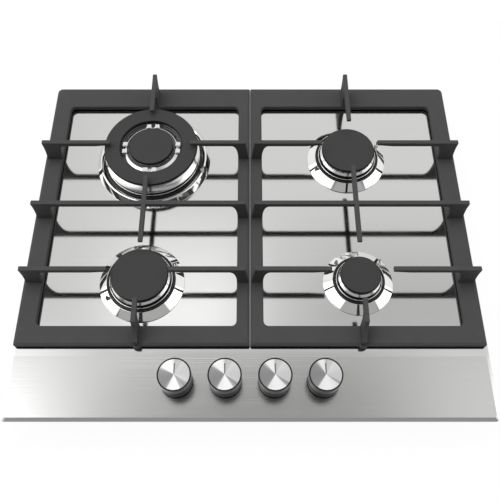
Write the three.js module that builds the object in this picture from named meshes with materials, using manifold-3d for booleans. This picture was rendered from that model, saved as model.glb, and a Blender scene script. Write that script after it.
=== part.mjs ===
// Built-in gas cooktop with four burners, two cast pan supports and four front knobs.
// Millimetres. X runs right, Y runs to the back, Z runs up. The origin is under the centre
// of the body, at the height of the lowest point of the under-tray.

import * as THREE from 'three';
import { mergeVertices } from 'three/addons/utils/BufferGeometryUtils.js';
import Module from 'manifold-3d';

const wasm = await Module();
wasm.setup();

// ---------------------------------------------------------------------------
// Driving dimensions
// ---------------------------------------------------------------------------

// Running clearance between neighbouring pieces that only touch on the real product.
const clearance = 0.3;

// Stainless top plate
const plateWidth = 600;
const plateDepth = 510;
const plateSheet = 1.2;
const rimHeight = 4;
const rimLip = 1.5;
const rimBevelWidth = 4.5;
const plateCornerRadius = 6;

// Under-tray, which hangs in the worktop cut-out
const trayDrop = 50;
const trayWidth = 556;
const trayDepth = 476;
const trayFrontInset = 17;
const traySheet = 1.2;
const trayShelfDepth = 62;
const trayShelfHeight = 18;
const ventLength = 60;
const ventWidth = 4;
const ventPitch = 16;
const ventSpacing = 334;
const ventCount = 4;

// Foam seal under the rim
const sealWidth = 8;

// Cast pan supports
const grateEdgeInset = 3.5;
const grateRearInset = 4;
const panelDepth = 86.8;
const seamGap = 1;
const outerBarWidth = 25;
const centreBarWidth = 17;
const frontBarWidth = 26.2;
const rearBarWidth = 36.5;
const frameLift = 1.5;
const frameTop = 8.75;
const frameChamferWidth = 3.5;
const frameChamferDrop = 2.4;
const frameCornerRadius = 7;
const windowCornerRadius = 7;
const grateTop = 45.8;
const fingerThickness = 6;
const fingerDepth = 7;
const fingerTipDepth = 4.6;
const fingerTipTaper = 22;
const finRootDepth = 1;
const frontRootDepth = 3;
const shoulderInset = 0.5;
const shoulderBulge = 10;
const gussetReach = 8.5;
const gussetDrop = 23;
const gussetSharpness = 1.2;
const gussetSag = 1.5;
const earTipHeight = 2.5;
const earLean = 1;
const earInset = 5.8;
const earWaist = 3.2;
const seamFootInset = 2.2;
const seamTopInset = 6;
const frontShoulderReach = 17;
const frontShoulderHeight = 18;
const toeRadius = 6;
const toeOverhang = 3;
const cornerFootRadius = 5;
const cornerFootInset = 24;
const middleBarShift = -1;
const longFingerX = 141.8;

// Burners: where they stand in the pan supports, and their radii
const rearBurnerSideInset = 156.5;
const frontBurnerSideInset = 154.1;
const rearBurnerInset = 130;
const frontBurnerInset = 88.7;
const wokCapRadius = 65.6;
const wokCapBore = 43.5;
const wokInnerCapRadius = 31;
const wokBezelRadius = 82;
const wokTipRadius = 56;
const wokCapTop = 37;
const standardCapRadius = 37.2;
const standardBezelRadius = 56;
const smallCapRadius = 26.1;
const smallBezelRadius = 46;
const standardTipRadius = 39;
const standardCapTop = 27.6;
const capThickness = 4.3;
const capEdgeRadius = 2;
const capPlugDepth = 3;
const capPlugPlay = 0.5;
const crownInset = 0.9;
const crownWall = 6.8;
const crownHeight = 7.2;
const crownLip = 0.8;
const bowlFall = 1;
const neckInset = 3;
const flangeOverhang = 4.1;
const wokFlangeOverhang = 1.8;
const flangeHeight = 12;
const flangeThickness = 4;
const collarGap = 1.2;
const collarWall = 1.8;
const collarRise = 2.2;
const cupShoulder = 2.6;
const bezelHeight = 12;
const bezelSheet = 1;
const bezelLip = 0.9;
const bezelGap = 0.6;
const portWidth = 2.2;
const portDepth = 4.4;
const cupDrop = 28;
const wokCupRadius = 50;
const standardCupRadius = 24;
const smallCupRadius = 20;
const cupWall = 4;
const ledgeWidth = 8;
const cupFloor = 14;
const cupChamfer = 5;
const cupFlareDepth = 5;
const mixerBore = 8;
const mixerWall = 5;
const mixerDrop = 6;
const channelDepth = 14;
const channelSkirt = 4;
const channelPorts = 8;
const bridgeWidth = 23;
const bridgeGroove = 1.6;
const bridgeDrop = 4.5;
const bridgeGrooveDepth = 3;
const bridgeRim = 0.5;

// Spark electrodes and flame sensors
const electrodeRadius = 2.7;
const electrodeHeight = 13;
const electrodeDrop = 12;
const sparkPinRadius = 0.9;
const sparkPinLength = 7;
const sensorRadius = 2.1;
const sensorHeight = 15;
const sensorTip = 4;
const probeInset = 1.4;
const probeHoleClearance = 0.5;

// Control knobs, their stems and the gas valves under them
const knobInset = 48;
const knobPitch = 60;
const knobRadius = 20.4;
const knobTop = 32.2;
const knobTravel = 3;
const knobChamfer = 1;
const pointerWidth = 1.5;
const pointerDepth = 0.7;
const pointerMargin = 2;
const stemRadius = 4;
const stemSocket = 12;
const stemEngagement = 10;
const stemHoleGap = 1;
const collarRadius = 8;
const collarHeight = 3.5;
const collarGapBelow = 1;
const valveWidth = 22;
const valveDepth = 20;
const valveHeight = 20;
const valveTop = 40;

// Gas manifold and feed tubes
const manifoldRadius = 7;
const manifoldZ = 35;
const manifoldSideInset = 16;
const manifoldBend = 60;
const manifoldOverrun = 18;
const feedRadius = 3;
const feedZ = 30;
const inletRadius = 9;
const inletBore = 5;
const inletNutRadius = 12;
const inletLength = 18;

// Electrical pieces and worktop clamps
const moduleWidth = 64;
const moduleDepth = 42;
const moduleHeight = 24;
const moduleBevel = 3;
const moduleShelfGap = 43;
const glandInset = 42;
const glandRadius = 8;
const glandBore = 4;
const glandLength = 12;
const glandFlange = 4;
const glandFlangeHeight = 5;
const clampSpacing = 380;
const clampWidth = 20;
const clampSheet = 1.2;
const clampFoot = 12;
const clampTopGap = 3;
const worktopThickness = 20;

// ---------------------------------------------------------------------------
// Levels and places worked out from them
// ---------------------------------------------------------------------------

const plateTop = trayDrop + rimHeight;
const plateUnderside = plateTop - plateSheet;
const grateOuterX = plateWidth / 2 - grateEdgeInset;
const grateFrontY = -plateDepth / 2 + rimBevelWidth + panelDepth;
const grateRearY = plateDepth / 2 - grateRearInset;
const rearBurnerX = grateOuterX - rearBurnerSideInset;
const frontBurnerX = grateOuterX - frontBurnerSideInset;
const windowOuterX = grateOuterX - outerBarWidth;
const windowInnerX = seamGap / 2 + centreBarWidth;
const windowFrontY = grateFrontY + frontBarWidth;
const windowRearY = grateRearY - rearBarWidth;
const rearBurnerY = grateRearY - rearBurnerInset;
const frontBurnerY = grateFrontY + frontBurnerInset;
const middleBarY = (rearBurnerY + frontBurnerY) / 2 + middleBarShift;
const knobY = -plateDepth / 2 + knobInset;
const trayFrontY = -plateDepth / 2 + trayFrontInset;
const trayRearY = trayFrontY + trayDepth;
const shelfY = trayRearY - trayShelfDepth;
const shelfCentreY = (shelfY + trayRearY) / 2;
const moduleY = shelfY - moduleShelfGap - moduleDepth / 2;
const manifoldSideX = trayWidth / 2 - manifoldSideInset;
const glandX = -trayWidth / 2 + glandInset;
const sealInset = rimBevelWidth + plateSheet + clearance;
const flangeInset = sealInset + sealWidth + clearance;

const burners = [
  {
    name: 'rear_left', wok: true, x: -rearBurnerX, y: rearBurnerY, capRadius: wokCapRadius, capTop: wokCapTop,
    bezelRadius: wokBezelRadius, tipRadius: wokTipRadius, bodyRadius: wokCupRadius,
    electrodeAngle: -18, sensorAngle: 160, ports: 20, segments: 32, cupSegments: 20,
  },
  {
    name: 'front_left', x: -frontBurnerX, y: frontBurnerY, capRadius: standardCapRadius,
    capTop: standardCapTop, bezelRadius: standardBezelRadius, tipRadius: standardTipRadius,
    bodyRadius: standardCupRadius, electrodeAngle: 25, sensorAngle: 211, ports: 14, segments: 24,
    cupSegments: 16,
  },
  {
    name: 'rear_right', x: rearBurnerX, y: rearBurnerY, capRadius: standardCapRadius,
    capTop: standardCapTop, bezelRadius: standardBezelRadius, tipRadius: standardTipRadius,
    bodyRadius: standardCupRadius, electrodeAngle: 24, sensorAngle: 204, ports: 14, segments: 24,
    cupSegments: 16,
  },
  {
    name: 'front_right', x: frontBurnerX, y: frontBurnerY, capRadius: smallCapRadius,
    capTop: standardCapTop, bezelRadius: smallBezelRadius, tipRadius: standardTipRadius,
    bodyRadius: smallCupRadius, electrodeAngle: 41, sensorAngle: 138, ports: 10, segments: 20,
    cupSegments: 16,
  },
];

// Each valve feeds one burner, from left to right along the front.
const valveOrder = ['front_left', 'rear_left', 'rear_right', 'front_right'];

const materials = {
  steel: new THREE.MeshStandardMaterial({ color: 0xc9cac8, roughness: 0.28, metalness: 1 }),
  castIron: new THREE.MeshStandardMaterial({ color: 0x3a3b3c, roughness: 0.75, metalness: 0.1 }),
  enamel: new THREE.MeshStandardMaterial({ color: 0x3f4041, roughness: 0.6, metalness: 0 }),
  chrome: new THREE.MeshStandardMaterial({ color: 0xe4e5e6, roughness: 0.08, metalness: 1 }),
  aluminium: new THREE.MeshStandardMaterial({ color: 0xcfd0d1, roughness: 0.35, metalness: 1 }),
  blackMetal: new THREE.MeshStandardMaterial({ color: 0x17181a, roughness: 0.5, metalness: 0.4 }),
  galvanised: new THREE.MeshStandardMaterial({ color: 0xa9adb0, roughness: 0.5, metalness: 0.9 }),
  brass: new THREE.MeshStandardMaterial({ color: 0xb98f4a, roughness: 0.35, metalness: 1 }),
  foam: new THREE.MeshStandardMaterial({ color: 0x202020, roughness: 0.95, metalness: 0 }),
  ceramic: new THREE.MeshStandardMaterial({ color: 0xece8dd, roughness: 0.4, metalness: 0 }),
  plastic: new THREE.MeshStandardMaterial({ color: 0x222326, roughness: 0.6, metalness: 0 }),
};

// ---------------------------------------------------------------------------
// Solid modelling helpers
// ---------------------------------------------------------------------------

/** Joins equal corners and drops the empty triangles that a revolve leaves on its axis. */
function weld(geometry) {
  const bare = geometry.clone();
  bare.deleteAttribute('normal');
  bare.deleteAttribute('uv');
  const merged = mergeVertices(bare, 1e-4);
  const corners = merged.index.array;
  const kept = [];
  for (let i = 0; i < corners.length; i += 3) {
    const [a, b, c] = [corners[i], corners[i + 1], corners[i + 2]];
    if (a !== b && b !== c && c !== a) kept.push(a, b, c);
  }
  merged.setIndex(kept);
  return merged;
}

/** Turns a closed geometry into a solid that can be joined and cut. */
function toSolid(geometry) {
  const welded = weld(geometry);
  return new wasm.Manifold(new wasm.Mesh({
    numProp: 3,
    vertProperties: new Float32Array(welded.attributes.position.array),
    triVerts: new Uint32Array(welded.index.array),
  }));
}

/** Turns a solid back into a geometry. */
function toGeometry(solid) {
  const mesh = solid.getMesh();
  const geometry = new THREE.BufferGeometry();
  geometry.setAttribute('position', new THREE.BufferAttribute(new Float32Array(mesh.vertProperties), 3));
  geometry.setIndex(new THREE.BufferAttribute(new Uint32Array(mesh.triVerts), 1));
  geometry.computeVertexNormals();
  return geometry;
}

/** Joins any number of geometries into one solid. */
function join(...geometries) {
  return geometries.map(toSolid).reduce((total, solid) => total.add(solid));
}

/** Cuts the geometries in the list from a solid. */
function cut(solid, cutters) {
  return cutters.map(toSolid).reduce((total, cutter) => total.subtract(cutter), solid);
}

/** Revolves an outline of [radius, height] points, drawn anticlockwise, about the Z axis. */
function revolve(outline, segments) {
  const points = outline.map(([radius, height]) => new THREE.Vector2(radius, height));
  return new THREE.LatheGeometry(points, segments).rotateX(Math.PI / 2);
}

/** Revolves an outline that doesn't reach the axis, and closes it on itself. */
function revolveRing(outline, segments) {
  return revolve([...outline, outline[0]], segments);
}

/** Makes an upright cylinder that stands on the height bottom. */
function upright(radius, bottom, top, segments = 16) {
  return revolve([[0, bottom], [radius, bottom], [radius, top], [0, top]], segments);
}

/** Makes the cutter for a round hole whose flats clear the radius. */
function drill(radius, bottom, top, segments = 12) {
  return upright(radius / Math.cos(Math.PI / segments), bottom, top, segments);
}

/** Makes a box from its lowest and highest corner. */
function block([x0, y0, z0], [x1, y1, z1]) {
  return new THREE.BoxGeometry(x1 - x0, y1 - y0, z1 - z0)
    .translate((x0 + x1) / 2, (y0 + y1) / 2, (z0 + z1) / 2);
}

/** Draws a rectangle with round corners from its lowest to its highest corner. */
function roundedRectangle(x0, y0, x1, y1, radius, path = new THREE.Shape()) {
  path.moveTo(x0 + radius, y0);
  path.lineTo(x1 - radius, y0);
  path.absarc(x1 - radius, y0 + radius, radius, -Math.PI / 2, 0);
  path.lineTo(x1, y1 - radius);
  path.absarc(x1 - radius, y1 - radius, radius, 0, Math.PI / 2);
  path.lineTo(x0 + radius, y1);
  path.absarc(x0 + radius, y1 - radius, radius, Math.PI / 2, Math.PI);
  path.lineTo(x0, y0 + radius);
  path.absarc(x0 + radius, y0 + radius, radius, Math.PI, Math.PI * 1.5);
  return path;
}

/** Lofts rounded rectangles, given from the lowest to the highest, into one closed body. */
function loft(levels, cornerSteps = 4) {
  const rings = levels.map(({ width, depth, radius, z }) =>
    roundedRectangle(-width / 2, -depth / 2, width / 2, depth / 2, radius)
      .extractPoints(cornerSteps).shape.slice(0, -1).map((point) => [point.x, point.y, z]));
  const count = rings[0].length;
  const flat = rings[0].map(([x, y]) => new THREE.Vector2(x, y));
  const cap = THREE.ShapeUtils.triangulateShape(flat, []);
  const topStart = (rings.length - 1) * count;
  const index = cap.flatMap(([a, b, c]) => [c, b, a, topStart + a, topStart + b, topStart + c]);
  for (let level = 0; level < rings.length - 1; level += 1) {
    for (let i = 0; i < count; i += 1) {
      const low = level * count + i;
      const lowNext = level * count + ((i + 1) % count);
      index.push(low, lowNext, low + count, lowNext, lowNext + count, low + count);
    }
  }
  const geometry = new THREE.BufferGeometry();
  geometry.setAttribute('position', new THREE.Float32BufferAttribute(rings.flat(2), 3));
  geometry.setIndex(index);
  return geometry;
}

/** Extrudes a shape drawn in the X-Z plane by a thickness centred on y. */
function slabAcrossY(shape, y, thickness) {
  return new THREE.ExtrudeGeometry(shape, { depth: thickness, bevelEnabled: false, curveSegments: 4 })
    .rotateX(Math.PI / 2).translate(0, y + thickness / 2, 0);
}

/** Extrudes a shape drawn in the Y-Z plane by a thickness centred on x. */
function slabAcrossX(shape, x, thickness) {
  const turn = new THREE.Matrix4().makeBasis(
    new THREE.Vector3(0, 1, 0), new THREE.Vector3(0, 0, 1), new THREE.Vector3(1, 0, 0));
  return new THREE.ExtrudeGeometry(shape, { depth: thickness, bevelEnabled: false, curveSegments: 4 })
    .applyMatrix4(turn).translate(x - thickness / 2, 0, 0);
}

/** Sweeps a round tube along a curve. */
function tube(curve, radius, sides, steps) {
  const section = new THREE.Shape();
  for (let i = 0; i < sides; i += 1) {
    const angle = (2 * Math.PI * i) / sides;
    const method = i === 0 ? 'moveTo' : 'lineTo';
    section[method](radius * Math.cos(angle), radius * Math.sin(angle));
  }
  section.closePath();
  return new THREE.ExtrudeGeometry(section, { extrudePath: curve, steps, bevelEnabled: false });
}

/** Names a finished solid or geometry and gives it its material. */
function piece(name, body, material) {
  const geometry = body.isBufferGeometry ? weld(body) : toGeometry(body);
  const mesh = new THREE.Mesh(geometry, material);
  mesh.name = name;
  return mesh;
}

const radians = THREE.MathUtils.degToRad;

// ---------------------------------------------------------------------------
// Sizes that several burner pieces share
// ---------------------------------------------------------------------------

/** Works out the radii of a burner's nested pieces from its cap radius. */
function burnerSizes(burner) {
  const crownRadius = burner.capRadius - crownInset;
  const flangeRadius = burner.capRadius + (burner.wok ? wokFlangeOverhang : flangeOverhang);
  const collarInner = flangeRadius + collarGap;
  const collarOuter = collarInner + collarWall;
  const bezelInner = collarOuter + bezelGap;
  return {
    crownRadius,
    flangeRadius,
    collarInner,
    collarOuter,
    bezelInner,
    probeRadius: bezelInner + electrodeRadius + probeInset,
    plateHole: collarInner - cupShoulder,
    crownTop: burner.capTop - capThickness - clearance,
  };
}

/** Gives the place of an electrode or sensor that stands beside a burner. */
function besideBurner(burner, angle) {
  const { probeRadius } = burnerSizes(burner);
  return [
    burner.x + probeRadius * Math.cos(radians(angle)),
    burner.y + probeRadius * Math.sin(radians(angle)),
  ];
}

/** Lists the holes that one sheet needs for every electrode and sensor. */
function probeHoles(burner, bottom, top) {
  const hole = (angle, radius) => {
    const [x, y] = besideBurner(burner, angle);
    return drill(radius + probeHoleClearance, bottom, top, 6).translate(x, y, 0);
  };
  return [hole(burner.electrodeAngle, electrodeRadius), hole(burner.sensorAngle, sensorRadius)];
}

const knobXs = [-1.5, -0.5, 0.5, 1.5].map((place) => place * knobPitch);

// ---------------------------------------------------------------------------
// Body: top plate, seal, under-tray and clamps
// ---------------------------------------------------------------------------

function makeTopPlate() {
  const level = (inset, radius, z) => ({
    width: plateWidth - 2 * inset, depth: plateDepth - 2 * inset, radius, z,
  });
  const shell = (inset, bottom, top) => loft([
    level(inset, plateCornerRadius - inset, bottom),
    level(inset, plateCornerRadius - inset, trayDrop + rimLip - inset / 2),
    level(rimBevelWidth + inset, plateCornerRadius - inset / 2, top),
  ]);
  const skin = toSolid(shell(0, trayDrop, plateTop));
  const hollow = toSolid(shell(plateSheet, trayDrop - 1, plateUnderside));
  const holes = burners.flatMap((burner) => [
    drill(burnerSizes(burner).plateHole, trayDrop, plateTop + 1, 20)
      .translate(burner.x, burner.y, 0),
    ...probeHoles(burner, trayDrop, plateTop + 1),
  ]);
  const stemHoles = knobXs.map((x) =>
    drill(stemRadius + stemHoleGap, trayDrop, plateTop + 1, 10).translate(x, knobY, 0));
  return piece('top_plate', cut(skin.subtract(hollow), [...holes, ...stemHoles]), materials.steel);
}

function makeRimSeal() {
  const ring = (shrink, bottom, top) => loft([bottom, top].map((z) => ({
    width: plateWidth - 2 * (sealInset + shrink), depth: plateDepth - 2 * (sealInset + shrink), radius: 3, z,
  })), 2);
  const top = plateUnderside - clearance;
  const outside = toSolid(ring(0, trayDrop, top));
  return piece('rim_seal', outside.subtract(toSolid(ring(sealWidth, trayDrop - 1, top + 1))), materials.foam);
}

/** Draws the side view of the under-tray, moved in by an inset. */
function trayOutline(inset, top) {
  const outline = new THREE.Shape();
  outline.moveTo(trayFrontY + inset, inset);
  outline.lineTo(shelfY - inset, inset);
  outline.lineTo(shelfY - inset, trayShelfHeight + inset);
  outline.lineTo(trayRearY - inset, trayShelfHeight + inset);
  outline.lineTo(trayRearY - inset, top);
  outline.lineTo(trayFrontY + inset, top);
  return outline;
}

function makeBottomTray() {
  const top = plateUnderside - clearance;
  const outside = slabAcrossX(trayOutline(0, top), 0, trayWidth);
  const inside = slabAcrossX(trayOutline(traySheet, top + 1), 0, trayWidth - 2 * traySheet);
  const flangeLevel = (z) => ({
    width: plateWidth - 2 * flangeInset, depth: plateDepth - 2 * flangeInset, radius: 4, z,
  });
  const flange = loft([flangeLevel(top - traySheet), flangeLevel(top)], 2);
  const vents = [];
  for (let side = -1; side <= 1; side += 2) {
    for (let i = 0; i < ventCount; i += 1) {
      const y = (trayFrontY + trayRearY) / 2 + (i - (ventCount - 1) / 2) * ventPitch;
      const x = (side * ventSpacing) / 2;
      vents.push(block([0, 0, -1], [ventLength, ventWidth, 2 * traySheet + 1])
        .translate(x - ventLength / 2, y - ventWidth / 2, 0));
    }
  }
  const portHole = (x, radius) => drill(radius + clearance, trayShelfHeight - 1, trayShelfHeight + 3, 12)
    .translate(x, shelfCentreY, 0);
  const body = cut(join(outside, flange), [inside]);
  return piece('bottom_tray', cut(body, [
    ...vents, portHole(manifoldSideX, inletRadius), portHole(glandX, glandRadius),
  ]), materials.galvanised);
}

/** Makes one sheet-metal hook, outside the tray's front (-1) or rear (+1) wall, that holds it. */
function makeClamp(name, x, side) {
  const wall = (side > 0 ? trayRearY : trayFrontY) + side * clearance;
  const footTop = trayDrop - worktopThickness;
  const hook = new THREE.Shape();
  hook.moveTo(wall, footTop - clampSheet);
  hook.lineTo(wall + side * clampFoot, footTop - clampSheet);
  hook.lineTo(wall + side * clampFoot, footTop);
  hook.lineTo(wall + side * clampSheet, footTop);
  hook.lineTo(wall + side * clampSheet, trayDrop - clampTopGap);
  hook.lineTo(wall, trayDrop - clampTopGap);
  return piece(name, slabAcrossX(hook, x, clampWidth), materials.galvanised);
}

// ---------------------------------------------------------------------------
// Cast pan supports
// ---------------------------------------------------------------------------

/** Draws the underside of a finger from its tip to its root, where it curves down to the frame. */
function fingerUnderside(shape, tip, root, top, foot) {
  const away = Math.sign(root - tip);
  const taperEnd = tip + away * Math.min(fingerTipTaper, Math.abs(root - tip) - gussetReach - 1);
  shape.lineTo(tip, top - fingerTipDepth);
  shape.lineTo(taperEnd, top - fingerDepth);
  shape.lineTo(root - away * gussetReach, top - fingerDepth);
  shape.quadraticCurveTo(
    root - away * gussetSharpness, top - fingerDepth - gussetSag, root, top - fingerDepth - gussetDrop);
  shape.lineTo(root, foot);
}

/** Draws a finger that rises from a bar of the frame on a fin and ends at its tip over a burner. */
function finFinger({ tip, root, ear, earFoot, waist }) {
  const foot = plateTop + frameTop - finRootDepth;
  const top = plateTop + grateTop;
  const shape = new THREE.Shape();
  shape.moveTo(earFoot, foot);
  shape.quadraticCurveTo(waist, (foot + top) / 2, ear, top - earTipHeight);
  shape.lineTo(ear, top);
  shape.lineTo(tip, top);
  fingerUnderside(shape, tip, root, top, foot);
  return shape;
}

/** Draws the middle bar, which runs from the fin at the seam to the fin at the outer edge. */
function middleBar(side) {
  const foot = plateTop + frameTop - finRootDepth;
  const top = plateTop + grateTop;
  const under = top - fingerDepth;
  const ear = grateOuterX - earInset;
  const shape = new THREE.Shape();
  shape.moveTo(side * (ear - earLean), foot);
  shape.quadraticCurveTo(side * (ear - 2 * earWaist), (foot + top) / 2, side * ear, top - earTipHeight);
  shape.lineTo(side * ear, top);
  shape.lineTo(side * (seamGap / 2 + seamTopInset), top);
  shape.lineTo(side * (seamGap / 2 + seamFootInset), foot);
  shape.lineTo(side * windowInnerX, foot);
  shape.lineTo(side * windowInnerX, under - gussetDrop);
  shape.quadraticCurveTo(
    side * (windowInnerX + gussetSharpness), under - gussetSag, side * (windowInnerX + gussetReach), under);
  shape.lineTo(side * (windowOuterX - gussetReach), under);
  shape.quadraticCurveTo(
    side * (windowOuterX - gussetSharpness), under - gussetSag, side * windowOuterX, under - gussetDrop);
  shape.lineTo(side * windowOuterX, foot);
  return shape;
}

/** Draws the finger that crosses the middle bar and reaches towards both burners. */
function crossFinger(frontTip, rearTip) {
  const top = plateTop + grateTop;
  const shape = new THREE.Shape();
  shape.moveTo(frontTip, top);
  shape.lineTo(frontTip, top - fingerTipDepth);
  shape.lineTo(frontTip + fingerTipTaper, top - fingerDepth);
  shape.lineTo(rearTip - fingerTipTaper, top - fingerDepth);
  shape.lineTo(rearTip, top - fingerTipDepth);
  shape.lineTo(rearTip, top);
  return shape;
}

/** Draws the front finger, whose shoulder comes down over the front bar. */
function frontFinger(tip) {
  const foot = plateTop + frameTop - frontRootDepth;
  const top = plateTop + grateTop;
  const front = grateFrontY + shoulderInset;
  const shoulder = plateTop + frontShoulderHeight;
  const shape = new THREE.Shape();
  shape.moveTo(front, foot);
  shape.lineTo(front, shoulder);
  shape.quadraticCurveTo(
    front + frontShoulderReach * 0.8, shoulder + shoulderBulge, front + frontShoulderReach, top);
  shape.lineTo(tip, top);
  fingerUnderside(shape, tip, windowFrontY, top, foot);
  return shape;
}

/** Makes the pan support of one side: +1 is the right one and -1 the left one. */
function makeGrate(name, side) {
  const [rear, front] = ['rear', 'front'].map((row) =>
    burners.find((burner) => burner.name === `${row}_${side > 0 ? 'right' : 'left'}`));
  const seamX = side * seamGap / 2;
  const outerX = side * grateOuterX;
  const outline = roundedRectangle(
    Math.min(seamX, outerX), grateFrontY, Math.max(seamX, outerX), grateRearY, frameCornerRadius);
  outline.holes.push(roundedRectangle(
    Math.min(side * windowInnerX, side * windowOuterX), windowFrontY,
    Math.max(side * windowInnerX, side * windowOuterX), windowRearY, windowCornerRadius, new THREE.Path()));
  const frameHeight = frameTop - frameLift;
  const frame = new THREE.ExtrudeGeometry(outline, {
    depth: frameHeight - 2 * frameChamferDrop,
    bevelThickness: frameChamferDrop,
    bevelSize: frameChamferWidth,
    bevelOffset: -frameChamferWidth,
    bevelSegments: 1,
    curveSegments: 3,
  }).translate(0, 0, plateTop + frameLift + frameChamferDrop);

  const ear = grateOuterX - earInset;
  const fingers = [middleBar(side)].map((shape) => slabAcrossY(shape, middleBarY, fingerThickness));
  for (const burner of [rear, front]) {
    const outerFinger = finFinger({
      tip: burner.x + side * burner.tipRadius,
      root: side * windowOuterX,
      ear: side * ear,
      earFoot: side * (ear - earLean),
      waist: side * (ear - 2 * earWaist),
    });
    const innerFinger = finFinger({
      tip: burner.x - side * burner.tipRadius,
      root: side * windowInnerX,
      ear: side * (seamGap / 2 + seamTopInset),
      earFoot: side * (seamGap / 2 + seamFootInset),
      waist: side * (seamGap / 2 + (seamFootInset + seamTopInset) / 2),
    });
    fingers.push(slabAcrossY(outerFinger, burner.y, fingerThickness));
    fingers.push(slabAcrossY(innerFinger, burner.y, fingerThickness));
  }
  const longX = side * longFingerX;
  const rearEar = grateRearY - earInset;
  fingers.push(
    slabAcrossX(finFinger({
      tip: rear.y + rear.tipRadius, root: windowRearY, ear: rearEar, earFoot: rearEar - earLean,
      waist: rearEar - 2 * earWaist,
    }), longX, fingerThickness),
    slabAcrossX(crossFinger(front.y + front.tipRadius, rear.y - rear.tipRadius), longX, fingerThickness),
    slabAcrossX(frontFinger(front.y - front.tipRadius), longX, fingerThickness),
  );

  const footTop = plateTop + frameTop - frameChamferDrop;
  const footBottom = plateTop + clearance;
  const toe = upright(toeRadius, footBottom, footTop, 12)
    .translate(longX, grateFrontY + toeRadius - toeOverhang, 0);
  const feet = [
    [side * (grateOuterX - cornerFootInset), grateFrontY + frontBarWidth / 2],
    [side * (seamGap / 2 + centreBarWidth / 2), grateFrontY + frontBarWidth / 2],
    [side * (grateOuterX - cornerFootInset), grateRearY - rearBarWidth / 2],
    [side * (seamGap / 2 + centreBarWidth / 2), grateRearY - rearBarWidth / 2],
  ].map(([x, y]) => upright(cornerFootRadius, footBottom, footTop, 8).translate(x, y, 0));

  return piece(name, join(frame, ...fingers, toe, ...feet), materials.castIron);
}

// ---------------------------------------------------------------------------
// Burners
// ---------------------------------------------------------------------------

/** Makes the cup that hangs in the plate and takes the gas jet. */
function makeCup(burner) {
  const size = burnerSizes(burner);
  const ledge = flangeHeight - flangeThickness - clearance;
  const bowlRadius = burner.bodyRadius - cupWall;
  const outline = [
    [0, -cupDrop],
    [burner.bodyRadius - cupChamfer, -cupDrop],
    [burner.bodyRadius, -cupDrop + cupChamfer],
    [burner.bodyRadius, -plateSheet - cupFlareDepth],
    [size.plateHole - clearance, -plateSheet - cupFlareDepth / 2],
    [size.plateHole - clearance, clearance],
    [size.collarOuter, clearance],
    [size.collarOuter, ledge + collarRise],
    [size.collarInner, ledge + collarRise],
    [size.collarInner, ledge],
    [size.flangeRadius - ledgeWidth, ledge],
    [bowlRadius, -cupDrop + cupFloor],
    [0, -cupDrop + cupFloor],
  ];
  const body = revolve(outline, burner.cupSegments).translate(burner.x, burner.y, plateTop);
  return piece(`burner_cup_${burner.name}`, body, materials.blackMetal);
}

/** Makes the polished cone that covers the joint between cup and plate. */
function makeBezel(burner) {
  const { bezelInner } = burnerSizes(burner);
  const outline = [
    [burner.bezelRadius - bezelSheet * 1.6, clearance],
    [burner.bezelRadius, clearance],
    [burner.bezelRadius, clearance + bezelLip],
    [bezelInner, bezelHeight],
    [bezelInner, bezelHeight - bezelSheet],
  ];
  const ring = revolveRing(outline, burner.segments).translate(burner.x, burner.y, plateTop);
  const body = cut(toSolid(ring), probeHoles(burner, plateTop - 1, plateTop + bezelHeight + 1));
  return piece(`burner_bezel_${burner.name}`, body, materials.chrome);
}

/** Lists evenly spaced radial slots, between two radii, that open at the height top. */
function radialSlots(count, inner, outer, top, phase = 0) {
  const slots = [];
  for (let i = 0; i < count; i += 1) {
    const slot = block([inner, -portWidth / 2, top - portDepth], [outer, portWidth / 2, top + 1]);
    slots.push(slot.rotateZ((2 * Math.PI * (i + phase)) / count));
  }
  return slots;
}

/** Makes a flame spreader with a crown of ports round its top. */
function makeCrown(burner) {
  const { crownRadius, flangeRadius, crownTop } = burnerSizes(burner);
  const flangeBottom = flangeHeight - flangeThickness;
  const bowlRadius = crownRadius - crownWall;
  const outline = [
    [mixerBore, -mixerDrop],
    [mixerBore + mixerWall, -mixerDrop],
    [mixerBore + mixerWall, flangeBottom],
    [flangeRadius, flangeBottom],
    [flangeRadius, flangeHeight],
    [crownRadius - neckInset, flangeHeight],
    [crownRadius - neckInset, crownTop - crownHeight],
    [crownRadius, crownTop - crownHeight + crownLip],
    [crownRadius, crownTop],
    [bowlRadius, crownTop],
    [bowlRadius, crownTop - capPlugDepth - bowlFall],
    [mixerBore, crownTop - capPlugDepth - 2 * bowlFall],
  ];
  const slots = radialSlots(burner.ports, bowlRadius - 1, crownRadius + 1, crownTop);
  return cut(toSolid(revolveRing(outline, burner.segments)), slots);
}

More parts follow.
